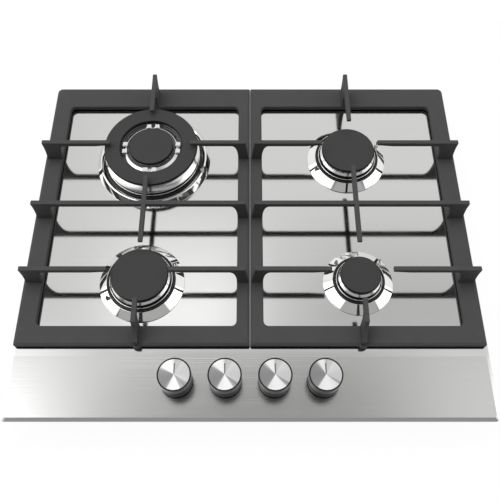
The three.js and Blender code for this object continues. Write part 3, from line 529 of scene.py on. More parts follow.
class Finishes:
    """Every finish on the cooktop."""

    # The steel plate's front panel is darkened with painted shade.
    STEEL = BrushedFinish("brushed_steel_plate", (0.66, 0.66, 0.65), 0.07, 1.0)
    # The cast iron and the cap enamel darken their walls and undersides with painted shade.
    CAST_IRON = CastFinish(
        "matt_black_cast_iron", (0.057, 0.057, 0.057), 0.6, grain=0.9 * MM, depth=0.03 * MM,
        painted_wall_shade=0.1, painted_shade_limits=(-0.9, 0.1), specular=0.06)
    ENAMEL = CastFinish(
        "black_cap_enamel", (0.034, 0.034, 0.0345), 0.5, grain=0.5 * MM, depth=0.012 * MM, mottle=0.08,
        painted_wall_shade=0.16, painted_shade_limits=(0.7, 0.985), specular=0.2)
    CHROME = PolishedFinish("polished_chrome", (0.9, 0.9, 0.89), 0.045, 1.0)
    HEAD = PolishedFinish("plated_burner_metal", (0.82, 0.82, 0.81), 0.19, 1.0, haze=0.05)
    # Painted shade for the deep channels of the large burner.
    CHANNEL_SHADE = CastFinish("channel_painted_shade", (0.1, 0.1, 0.1), 0.4, depth=0.01 * MM, specular=0.3)
    # Black enamel of the cups, and the painted shade on the burner necks.
    BLACK_ENAMEL_AND_SHADE = CastFinish("black_cup_enamel_and_painted_shade", (0.008, 0.008, 0.008), 0.28, depth=0.004 * MM)
    KNOB_SLEEVE = CastFinish(
        "black_knob_sleeve", (0.004, 0.004, 0.004), 0.35, depth=0.002 * MM, specular=0.08)
    KNOB_BAND = CastFinish("dark_glossy_knob_band", (0.01, 0.01, 0.01), 0.16, depth=0.001 * MM, specular=0.3)
    # The knob face's wedges are painted highlights and painted shade.
    KNOB_FACE = TurnedFinish("turned_knob_face", (0.55, 0.55, 0.545), 0.36, 1.0, wedges=(
        PaintedWedge(274.0, 34.0, 6.0, 0.5, drift=39.0, growth=94.0),
        PaintedWedge(114.0, 22.0, 14.0, 0.4, drift=-86.0, growth=-83.0),
        PaintedWedge(186.5, 48.0, 12.0, -0.14, drift=-94.0, growth=55.0),
        PaintedWedge(322.0, 4.0, 5.0, -0.12, drift=90.0),
        PaintedWedge(15.0, 46.0, 10.0, 0.32),
        PaintedWedge(72.0, 11.0, 8.0, 0.15),
    ))
    POINTER = CastFinish("knob_pointer_paint", (0.06, 0.06, 0.06), 0.4, depth=0.002 * MM)
    CERAMIC = CastFinish("glazed_ceramic", (0.6, 0.6, 0.58), 0.2, depth=0.004 * MM, mottle=0.04)
    PIN = PolishedFinish("probe_steel", (0.22, 0.215, 0.21), 0.35, 1.0)
    BRASS = PolishedFinish("machined_brass", (0.72, 0.52, 0.26), 0.25, 1.0, haze=0.12)
    GALVANISED = GalvanisedFinish("galvanised_sheet", (0.6, 0.62, 0.63), 0.36, 0.9)
    TUBE = PolishedFinish("drawn_aluminium_tube", (0.78, 0.78, 0.79), 0.3, 1.0, haze=0.1)
    PLASTIC = CastFinish("moulded_black_plastic", (0.03, 0.03, 0.032), 0.5, grain=0.4 * MM, depth=0.01 * MM)
    FOAM = CastFinish("sealing_foam", (0.02, 0.02, 0.02), 0.9, grain=1.2 * MM, depth=0.2 * MM, specular=0.2)


# ---------------------------------------------------------------------------
# Mesh helpers
# ---------------------------------------------------------------------------


def make_mesh(name: str, bm: BMesh, material: Material) -> bpy.types.Mesh:
    """Turns a bmesh into a mesh.

    Args:
        name: The mesh's name.
        bm: The finished shape. It is freed.
        material: What the mesh wears.

    Returns:
        The mesh.
    """
    mesh = bpy.data.meshes.new(name)
    bm.to_mesh(mesh)
    bm.free()
    mesh.materials.append(material)
    return mesh


def add_object(name: str, data: bpy.types.ID) -> Object:
    """Makes an object of a mesh, a lamp or a camera and links it to the scene.

    Args:
        name: The object's name.
        data: What it shows.

    Returns:
        The object.
    """
    obj = bpy.data.objects.new(name, data)
    bpy.context.scene.collection.objects.link(obj)
    return obj


@dataclass(frozen=True)
class Piece:
    """What a finished mesh is called, what it wears and what it belongs to."""

    name: str
    finish: Finish
    body: str
    slot: str
    nodes: tuple[str, ...] = ()
    bevel: float = 0.0
    bevel_segments: int = 3
    bevel_angle: float = 32.0
    smooth_angle: float = 38.0
    weighted: bool = True

    def publish(self, bm: BMesh) -> None:
        """Turns a bmesh into an object of the scene and ties it to its body.

        Args:
            bm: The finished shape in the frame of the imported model. It is freed.
        """
        bmesh.ops.recalc_face_normals(bm, faces=bm.faces)
        mesh = make_mesh(self.name, bm, self.finish.material())
        mesh.shade_smooth()
        mesh.set_sharp_from_angle(angle=math.radians(self.smooth_angle))
        obj = add_object(self.name, mesh)
        if self.bevel > 0:
            modifier = obj.modifiers.new("soft_edges", "BEVEL")
            modifier.width = self.bevel
            modifier.segments = self.bevel_segments
            modifier.limit_method = "ANGLE"
            modifier.angle_limit = math.radians(self.bevel_angle)
            modifier.harden_normals = True
            modifier.use_clamp_overlap = True
        elif self.weighted:
            modifier = obj.modifiers.new("true_normals", "WEIGHTED_NORMAL")
            modifier.keep_sharp = True
        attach(obj, self.body)
        if self.nodes:
            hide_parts(*self.nodes)
        LOG.info("%s: %d faces, rides on %s", self.name, len(mesh.polygons), self.body)


def rounded(
    corners: Sequence[Corner], closed: bool = True, steps: int = CORNER_STEPS
) -> list[Point]:
    """Rounds the corners of an outline with arcs.

    Args:
        corners: Each corner's two coordinates and its radius, which may be 0.
        closed: Whether the last corner joins the first.
        steps: The number of steps in each arc.

    Returns:
        The outline's points.
    """
    points: list[Point] = []
    count = len(corners)
    for i, (x, y, radius) in enumerate(corners):
        if radius <= 0 or (not closed and i in (0, count - 1)):
            points.append((x, y))
            continue
        here = Vector((x, y))
        back = (Vector(corners[i - 1][:2]) - here).normalized()
        ahead = (Vector(corners[(i + 1) % count][:2]) - here).normalized()
        half = back.angle(ahead) / 2
        start, end = here + back * radius / math.tan(half), here + ahead * radius / math.tan(half)
        centre = here + (back + ahead).normalized() * radius / math.sin(half)
        sweep = (start - centre).angle_signed(end - centre)
        for step in range(steps + 1):
            arm = Matrix.Rotation(-sweep * step / steps, 2) @ (start - centre)
            points.append(tuple(centre + arm))
    return points


def curve(start: Point, handle: Point, end: Point) -> list[Point]:
    """Samples a quadratic curve after its start, up to and with its end.

    Args:
        start: Where it starts.
        handle: Its handle.
        end: Where it ends.

    Returns:
        The points.
    """
    a, b, c = Vector(start), Vector(handle), Vector(end)
    spots = [step / CURVE_STEPS for step in range(1, CURVE_STEPS + 1)]
    return [tuple(a * (1 - t) ** 2 + b * 2 * t * (1 - t) + c * t ** 2) for t in spots]


def neighbours(items: Sequence, closed: bool) -> list[tuple]:
    """Pairs each item with the next, and the last with the first where the row is closed."""
    return list(zip(items, items[1:])) + ([(items[-1], items[0])] if closed else [])


def only_verts(geometry: Sequence) -> list[BMVert]:
    """Picks the vertices from what a mesh operator gives back."""
    return [item for item in geometry if isinstance(item, BMVert)]


def lathe(
    corners: Sequence[Corner], centre: Vector, steps: int, closed: bool = True,
    corner_steps: int = CORNER_STEPS, bm: BMesh | None = None,
) -> BMesh:
    """Spins an outline with rounded corners about an upright axis.

    Args:
        corners: Radius, height above the centre and rounding of each corner.
        centre: The point on the axis at height 0.
        steps: The number of steps in the full turn.
        closed: Whether the last corner joins the first.
        corner_steps: The number of steps in each rounded corner.
        bm: Takes the shape. Left out, a new bmesh takes it.

    Returns:
        The bmesh with the shape.
    """
    bm = bmesh.new() if bm is None else bm
    before = set(bm.verts)
    profile = rounded(corners, closed, corner_steps)
    verts = [bm.verts.new(centre + Vector((radius, 0, height))) for radius, height in profile]
    edges = [
        bm.edges.new((first, second)) for first, second in neighbours(verts, closed)
        if max(abs(first.co.x - centre.x), abs(second.co.x - centre.x)) > ON_AXIS]
    bmesh.ops.spin(
        bm, geom=verts + edges, cent=centre, axis=UP, dvec=(0, 0, 0),
        angle=FULL_TURN, steps=steps, use_merge=True, use_duplicate=False)
    new = [vert for vert in bm.verts if vert not in before]
    bmesh.ops.remove_doubles(bm, verts=new, dist=WELD_DISTANCE)
    return bm


def add_slab(
    bm: BMesh, outline: Sequence[Point], across: Vector, place: float, thickness: float
) -> None:
    """Extrudes an upright outline to both sides of its plane.

    Args:
        bm: Takes the slab.
        outline: Points along the level direction and the height.
        across: The unit vector of X or Y that the slab is thick along.
        place: The coordinate of its middle along that vector.
        thickness: Its thickness.
    """
    along = Vector((0, 1, 0)) if abs(across.x) > 0.5 else Vector((1, 0, 0))
    start = across * (place - thickness / 2)
    verts = [bm.verts.new(start + along * level + UP * height) for level, height in outline]
    grown = bmesh.ops.extrude_face_region(bm, geom=[bm.faces.new(verts)])
    bmesh.ops.translate(bm, verts=only_verts(grown["geom"]), vec=across * thickness)


def add_block(bm: BMesh, place: Matrix, middle: Corner, size: Corner) -> None:
    """Adds a block.

    Args:
        bm: Takes the block.
        place: Turns and moves it to its place.
        middle: Its middle before that.
        size: Its three edges.
    """
    matrix = place @ Matrix.Translation(middle) @ Matrix.Diagonal((*size, 1))
    bmesh.ops.create_cube(bm, size=1, matrix=matrix)


def draw_ring(bm: BMesh, points: Sequence[Point], height: float) -> list[BMVert]:
    """Draws a closed level outline.

    Args:
        bm: Takes the vertices and edges.
        points: The outline.
        height: Its height.

    Returns:
        The vertices in order.
    """
    ring = [bm.verts.new((x, y, height)) for x, y in points]
    for i, vert in enumerate(ring):
        bm.edges.new((ring[i - 1], vert))
    return ring


def rounded_box(low: Point, high: Point, radius: float) -> list[Point]:
    """Draws a rectangle with round corners.

    Args:
        low: The corner with the lowest coordinates.
        high: The corner with the highest coordinates.
        radius: The corners' radius.

    Returns:
        The outline's points.
    """
    corners = [(low[0], low[1]), (high[0], low[1]), (high[0], high[1]), (low[0], high[1])]
    return rounded([(x, y, radius) for x, y in corners], steps=BOX_CORNER_STEPS)


def circle(centre: Vector, radius: float, steps: int) -> list[Point]:
    """Draws a circle of points round a centre in plan."""
    turns = [FULL_TURN * step / steps for step in range(steps)]
    return [(centre.x + radius * math.cos(turn), centre.y + radius * math.sin(turn)) for turn in turns]


def ring_edges(bm: BMesh, ring: Sequence[BMVert]) -> list[BMEdge]:
    """Lists the edges of a ring of vertices."""
    return [bm.edges.get((ring[i - 1], vert)) for i, vert in enumerate(ring)]


def skin(bm: BMesh, rings: Sequence[Sequence[BMVert]], closed: bool = False) -> None:
    """Joins neighbouring rings of equal length with faces.

    Args:
        bm: Holds the rings.
        rings: The rings in order.
        closed: Whether the last ring joins the first.
    """
    for first, second in neighbours(rings, closed):
        for i in range(len(first)):
            bm.faces.new((first[i - 1], first[i], second[i], second[i - 1]))


def add_column(
    bm: BMesh, centre: Point, radius: float, bottom: float, top: float, segments: int
) -> None:
    """Adds an upright round column.

    Args:
        bm: Takes the column.
        centre: Its place in plan.
        radius: Its radius.
        bottom: The height of its lower end.
        top: The height of its upper end.
        segments: The number of its sides.
    """
    bmesh.ops.create_cone(
        bm, cap_ends=True, segments=segments, radius1=radius, radius2=radius, depth=top - bottom,
        matrix=Matrix.Translation((*centre, (bottom + top) / 2)))


@cache
def node_box(node: str) -> tuple[Vector, Vector]:
    """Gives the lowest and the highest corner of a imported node."""
    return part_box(node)


def on_plate(node: str) -> Vector:
    """Gives the middle of a node's box in plan, at the height of the plate's top."""
    low, high = node_box(node)
    return Vector((*((low + high) / 2).xy, PLATE_TOP))


def heights(node: str) -> tuple[float, float]:
    """Gives how high a node's lower and upper end lie above the plate's top."""
    low, high = node_box(node)
    return low.z - PLATE_TOP, high.z - PLATE_TOP


def half_width(node: str) -> float:
    """Gives half the width of a node's box along X."""
    low, high = node_box(node)
    return (high.x - low.x) / 2


PLATE_TOP = node_box("top_plate")[1].z


# ---------------------------------------------------------------------------
# Body
# ---------------------------------------------------------------------------


@dataclass
class TopPlate:
    """The pressed steel plate with its sloping rim."""

    sheet: float = 1.2 * MM
    rim_width: float = 4.5 * MM
    rim_lip: float = 1.5 * MM
    corner_radius: float = 6 * MM
    rim_radius_share: float = 0.6
    under_radius_share: float = 0.5
    edge_softness: float = 0.45 * MM
    edge_angle: float = 20.0
    cup_hole_inset: float = 4.4 * MM
    stem_hole: float = 5 * MM
    hole_steps: int = 72

    def build(self, burners: Sequence["Burner"], knobs: Sequence["Knob"]) -> None:
        """Builds the plate around the burner cups and the knob stems.

        Args:
            burners: The burners that hang in it.
            knobs: The knobs whose stems pass through it.
        """
        low, high = node_box("top_plate")
        bm = bmesh.new()

        def outline(inset: float, radius: float, height: float) -> list[BMVert]:
            """Draws the plate's outline moved in by an inset."""
            near, far = (low.x + inset, low.y + inset), (high.x - inset, high.y - inset)
            return draw_ring(bm, rounded_box(near, far, radius), height)

        top, bottom, under = high.z, low.z, high.z - self.sheet
        radius = self.corner_radius
        rim = [
            outline(self.rim_width, radius * self.rim_radius_share, top),
            outline(0.0, radius, bottom + self.rim_lip),
            outline(0.0, radius, bottom),
            outline(self.sheet, radius - self.sheet, bottom),
            outline(self.sheet, radius - self.sheet, bottom + self.rim_lip - self.sheet / 2),
            outline(self.rim_width + self.sheet, radius * self.under_radius_share, under),
        ]
        skin(bm, rim)
        places = [(burner.centre, burner.collar_radius - self.cup_hole_inset) for burner in burners]
        places += [(knob.centre, self.stem_hole) for knob in knobs]
        circles = [circle(centre, radius, self.hole_steps) for centre, radius in places]
        upper, lower = ([draw_ring(bm, points, height) for points in circles] for height in (top, under))
        for holes, edge in ((upper, rim[0]), (lower, rim[-1])):
            edges = [item for ring in (edge, *holes) for item in ring_edges(bm, ring)]
            bmesh.ops.triangle_fill(bm, use_beauty=True, edges=edges, normal=UP)
        for above, below in zip(upper, lower):
            skin(bm, [above, below])
        Piece(
            "steel_top_plate", Finishes.STEEL, "root", "plate_steel", ("top_plate",),
            bevel=self.edge_softness, bevel_angle=self.edge_angle,
        ).publish(bm)


class HiddenNodes:
    """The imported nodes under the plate, whose shapes stay and only get a finish."""

    FINISHES: dict[Finish, tuple[str, ...]] = {
        Finishes.FOAM: ("rim_seal",),
        Finishes.GALVANISED: ("bottom_tray", "worktop_clamp", "knob_stem", "gas_manifold"),
        Finishes.BRASS: ("gas_valve", "gas_inlet"),
        Finishes.TUBE: ("feed_tube",),
        Finishes.PLASTIC: ("switch_collar", "ignition_module", "cable_gland"),
    }

    def dress(self) -> None:
        """Gives each node its finish by the start of its name."""
        for name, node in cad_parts.items():
            for finish, starts in self.FINISHES.items():
                if name.startswith(starts):
                    node.data.materials.clear()
                    node.data.materials.append(finish.material())
                    LOG.info("%s: wears %s", name, finish.name)


# ---------------------------------------------------------------------------
# Burners
# ---------------------------------------------------------------------------


@dataclass
class Burner:
    """One burner: cup, bezel, head, caps, electrode and sensor, placed on its nodes."""

    name: str
    ports: int
    cap_thickness: float = 4.3 * MM
    cap_edge: float = 1.7 * MM
    cap_gap: float = 0.3 * MM
    cap_corner_steps: int = 6
    plug_gap: float = 0.5 * MM
    crown_inset: float = 0.9 * MM
    crown_wall: float = 6.8 * MM
    bowl_drop: float = 1 * MM
    port_width: float = 1.5 * MM
    port_height: float = 3.6 * MM
    tooth_sink: float = 0.2 * MM
    tooth_steps: int = 3
    skirt_flare: float = 2.5 * MM
    skirt_drop: float = 2.5 * MM
    skirt_lip: float = 0.9 * MM
    skirt_slope: float = 0.5 * MM
    neck_inset: float = 3 * MM
    # The black sheet of painted shade over the neck and the flange.
    neck_shade_sink: float = 0.3 * MM
    neck_shade_foot: float = 0.4 * MM
    neck_shade_thickness: float = 0.5 * MM
    flange_rim: float = 0.8 * MM
    flange_top: float = 12 * MM
    flange_thickness: float = 4 * MM
    mixer_bore: float = 8 * MM
    mixer_wall: float = 5 * MM
    mixer_drop: float = 6 * MM
    mixer_slope: float = 2 * MM
    seat_gap: float = 0.3 * MM
    bezel_height: float = 9.8 * MM
    bezel_foot: float = 1.6 * MM
    bezel_sheet: float = 1 * MM
    bezel_lip: float = 0.9 * MM
    bezel_gap: float = 0.6 * MM
    bezel_corner_steps: int = CORNER_STEPS
    collar_wall: float = 1.8 * MM
    collar_rise: float = 2.2 * MM
    ledge_width: float = 9 * MM
    throat_inset: float = 4.7 * MM
    throat_drop: float = 3.5 * MM
    cup_drop: float = 6 * MM
    cup_inset: float = 20 * MM
    cup_bend: float = 4 * MM
    cup_wall: float = 4 * MM
    cup_floor: float = 14 * MM
    wire_length: float = 7 * MM
    wire_radius: float = 0.85 * MM
    wire_sink: float = 0.9 * MM
    wire_bore: float = 0.9 * MM
    wire_bore_depth: float = 1 * MM
    sensor_shoulder: float = 4 * MM
    sensor_tip: float = 3.2 * MM
    sensor_tip_share: float = 0.7
    cup_steps: int = 112
    bezel_steps: int = 144
    head_steps: int = 128
    ring_steps: int = 128
    ceramic_steps: int = 40
    sensor_steps: int = 32
    wire_steps: int = 24

    @property
    def centre(self) -> Vector:
        """The burner's centre on the plate."""
        return on_plate(f"burner_bezel_{self.name}")

    @property
    def collar_radius(self) -> float:
        """The outer radius of the cup's collar."""
        return half_width(f"burner_cup_{self.name}")

    @property
    def cap_nodes(self) -> tuple[str, ...]:
        """The names of the burner's cap nodes."""
        return (f"burner_cap_{self.name}",)

    @property
    def cap_radius(self) -> float:
        """The radius of the outermost cap."""
        return half_width(self.cap_nodes[0])

    @property
    def crown_radius(self) -> float:
        """The radius of the crown under the outermost cap."""
        return self.cap_radius - self.crown_inset

    @property
    def cap_top(self) -> float:
        """The height of the cap above the plate."""
        return heights(self.cap_nodes[0])[1]

    @property
    def crown_top(self) -> float:
        """The height of the crown above the plate."""
        return self.cap_top - self.cap_thickness - self.cap_gap

    @property
    def port_floor(self) -> float:
        """The height of the ports' floor above the plate."""
        return self.crown_top - self.port_height

    @property
    def crowns(self) -> tuple[tuple[float, int], ...]:
        """The radius and the number of ports of each crown, from the outside inwards."""
        return ((self.crown_radius, self.ports),)

    def build(self) -> None:
        """Builds every piece of the burner."""
        self.build_cup()
        self.build_bezel()
        self.build_head()
        self.build_caps()
        self.build_electrode()
        self.build_sensor()

    def build_cup(self) -> None:
        """Builds the black cup whose collar shows round the head."""
        node = f"burner_cup_{self.name}"
        floor, _ = heights(node)
        outer = self.collar_radius
        inner, throat, body = outer - self.collar_wall, outer - self.throat_inset, outer - self.cup_inset
        ledge = self.flange_top - self.flange_thickness - self.seat_gap
        rim = ledge + self.collar_rise
        corners = [
            (0, floor, 0), (body, floor, self.cup_bend), (body, -self.cup_drop, self.cup_bend),
            (throat, -self.throat_drop, 0), (throat, self.seat_gap, 0), (outer, self.seat_gap, 0.2 * MM),
            (outer, rim, 0.7 * MM), (inner, rim, 0.5 * MM), (inner, ledge, 0),
            (inner - self.ledge_width, ledge, 1 * MM), (body - self.cup_wall, floor + self.cup_floor, 0),
            (0, floor + self.cup_floor, 0),
        ]
        Piece(
            f"burner_cup_shell_{self.name}", Finishes.BLACK_ENAMEL_AND_SHADE, "root", "cup_black", (node,),
        ).publish(lathe(corners, self.centre, self.cup_steps, closed=False))

    def build_bezel(self) -> None:
        """Builds the polished cone round the cup."""
        node = f"burner_bezel_{self.name}"
        outer, base = half_width(node), self.seat_gap
        corners = [
            (outer - self.bezel_foot, base, 0), (outer, base, 0.3 * MM),
            (outer, base + self.bezel_lip, 0.5 * MM), *self.bezel_slope(self.collar_radius + self.bezel_gap),
        ]
        Piece(
            f"burner_trim_{self.name}", Finishes.CHROME, "root", "bezel_chrome", (node,),
        ).publish(lathe(corners, self.centre, self.bezel_steps, corner_steps=self.bezel_corner_steps))

    def bezel_slope(self, inner: float) -> list[Corner]:
        """Draws the bezel's upper end, which stands at the given radius."""
        return [(inner, self.bezel_height, 0.5 * MM), (inner, self.bezel_height - self.bezel_sheet, 0)]

    def head_profile(self) -> list[Corner]:
        """Draws the section of the head up to the floor of its ports.

        Returns:
            The corners with their radii.
        """
        floor = self.port_floor
        bowl = self.crowns[-1][0] - self.crown_wall
        return [
            *self.skirt_profile(), *self.channel_profile(), (bowl, floor, 0),
            (bowl, floor - self.bowl_drop, 0), (self.mixer_bore, floor - self.mixer_slope, 0),
        ]

    def skirt_profile(self) -> list[Corner]:
        """Draws the outer section, from the mixer tube over the flange and the neck to the port floor.

        Returns:
            The corners with their radii.
        """
        crown, floor = self.crown_radius, self.port_floor
        flange = half_width(f"burner_head_{self.name}")
        neck = crown - self.neck_inset
        bore, wall = self.mixer_bore, self.mixer_bore + self.mixer_wall
        base = self.flange_top - self.flange_thickness
        skirt, edge = crown + self.skirt_flare, floor - self.skirt_drop
        lip = edge - self.skirt_lip
        return [
            (bore, -self.mixer_drop, 0), (wall, -self.mixer_drop, 0.5 * MM), (wall, base, 0.5 * MM),
            (flange, base, 0.4 * MM), (flange, self.flange_top, 0.7 * MM), (neck, self.flange_top, 0.5 * MM),
            (neck, lip - self.skirt_slope, 0.3 * MM), (skirt, lip, 0.35 * MM), (skirt, edge, 0.5 * MM),
            *self.flank((skirt, edge)), (crown, floor, 0.3 * MM),
        ]

    def flank(self, edge: Point) -> list[Corner]:
        """Draws the corners between the skirt's edge and the crown, of which there are none here."""
        return []

    def channel_profile(self) -> list[Corner]:
        """Draws the channel between two crowns, which only the large burner has."""
        return []

    def head_piece(self, start: str, finish: Finish, **more: object) -> Piece:
        """Describes a piece that rides on the head, named by the start of its name."""
        return Piece(f"{start}_{self.name}", finish, f"head_{self.name}", "head_metal", **more)

    def build_head(self) -> None:
        """Builds the head with the teeth between its ports, and the black sheet of painted shade over its
        neck.
        """
        bm = lathe(self.head_profile(), self.centre, self.head_steps)
        for radius, count in self.crowns:
            self.add_teeth(bm, radius - self.crown_wall, radius, count)
        self.head_piece("burner_crown", Finishes.HEAD, nodes=(f"burner_head_{self.name}",)).publish(bm)
        self.build_neck_shade()

    def build_neck_shade(self) -> None:
        """Builds the black sheet of painted shade that covers the neck and the flange up to its bright rim,
        standing in for the shade on the neck.
        """
        neck = self.crown_radius - self.neck_inset
        inner, outer = neck - self.neck_shade_sink, neck + self.neck_shade_thickness
        rim = half_width(f"burner_head_{self.name}") - self.flange_rim
        top = self.port_floor - self.skirt_drop - self.skirt_lip
        low, floor = self.flange_top - self.neck_shade_foot, self.flange_top + self.neck_shade_thickness
        corners = [
            (inner, low, 0), (rim, low, 0), (rim, floor, 0.3 * MM), (outer, floor, 0.4 * MM),
            (outer, top, 0), (inner, top, 0),
        ]
        self.head_piece("burner_neck_painted_shade", Finishes.BLACK_ENAMEL_AND_SHADE).publish(
            lathe(corners, self.centre, self.ring_steps))

    def add_teeth(self, bm: BMesh, inner: float, outer: float, count: int) -> None:
        """Adds the ring of teeth that stand between the flame ports.

        Args:
            bm: Takes the teeth.
            inner: Their inner radius.
            outer: Their outer radius.
            count: How many there are.
        """
        low, high = self.port_floor - self.tooth_sink, self.crown_top
        pitch = FULL_TURN / count
        before = set(bm.verts)
        verts = [
            bm.verts.new(self.centre + Vector((radius, 0, height)))
            for radius, height in ((inner, low), (outer, low), (outer, high), (inner, high))
        ]
        face = bm.faces.new(verts)
        bmesh.ops.spin(
            bm, geom=[face, *face.edges, *verts], cent=self.centre, axis=UP, dvec=(0, 0, 0),
            angle=pitch - self.port_width / outer, steps=self.tooth_steps)
        tooth = [vert for vert in bm.verts if vert not in before]
        edges = {edge for vert in tooth for edge in vert.link_edges}
        faces = {face for vert in tooth for face in vert.link_faces}
        for i in range(1, count):
            copy = bmesh.ops.duplicate(bm, geom=[*tooth, *edges, *faces])["geom"]
            turned = Matrix.Rotation(pitch * i, 3, "Z")
            bmesh.ops.rotate(bm, verts=only_verts(copy), cent=self.centre, matrix=turned)

    def build_caps(self) -> None:
        """Builds the round cap."""
        self.build_cap(self.cap_nodes[0], f"cap_{self.name}")

    def build_cap(self, node: str, body: str) -> None:
        """Builds a round enamelled cap.

        Args:
            node: The node that it stands for.
            body: The body that it rides on.
        """
        low, top = heights(node)
        radius, under = half_width(node), top - self.cap_thickness
        plug = radius - self.crown_inset - self.crown_wall - self.plug_gap
        corners = [
            (0, low, 0), (plug, low, 0.6 * MM), (plug, under, 0), (radius, under, 0.5 * MM),
            (radius, top, self.cap_edge), (0, top, 0),
        ]
        bm = lathe(
            corners, self.centre, self.ring_steps, closed=False, corner_steps=self.cap_corner_steps)
        Piece(f"{node}_enamel", Finishes.ENAMEL, body, "cap_enamel", (node,)).publish(bm)

    def build_electrode(self) -> None:
        """Builds the ceramic body and the wire of the spark electrode."""
        node = f"spark_electrode_{self.name}"
        low, top = heights(node)
        radius, shoulder = half_width(node), top - self.wire_length
        seat = shoulder - self.wire_bore_depth
        body = [
            (0, low, 0), (radius, low, 0), (radius, shoulder, 1 * MM), (self.wire_bore, shoulder, 0),
            (self.wire_bore, seat, 0), (0, seat, 0),
        ]
        Piece(
            f"electrode_ceramic_{self.name}", Finishes.CERAMIC, "root", "ceramic", (node,),
        ).publish(lathe(body, on_plate(node), self.ceramic_steps, closed=False))
        foot = shoulder - self.wire_sink
        wire = [
            (0, foot, 0), (self.wire_radius, foot, 0), (self.wire_radius, top, 0.4 * MM), (0, top, 0)]
        Piece(
            f"electrode_wire_{self.name}", Finishes.PIN, "root", "head_metal",
        ).publish(lathe(wire, on_plate(node), self.wire_steps, closed=False))

    def build_sensor(self) -> None:
        """Builds the flame sensor."""
        node = f"flame_sensor_{self.name}"
        low, top = heights(node)
        radius = half_width(node)
        tip = radius * self.sensor_tip_share
        corners = [
            (0, low, 0), (radius, low, 0), (radius, top - self.sensor_shoulder, 0.4 * MM),
            (tip, top - self.sensor_tip, 0.3 * MM), (tip, top, 0.8 * MM), (0, top, 0),
        ]
        Piece(
            f"sensor_tip_{self.name}", Finishes.PIN, "root", "brass", (node,),
        ).publish(lathe(corners, on_plate(node), self.sensor_steps, closed=False))


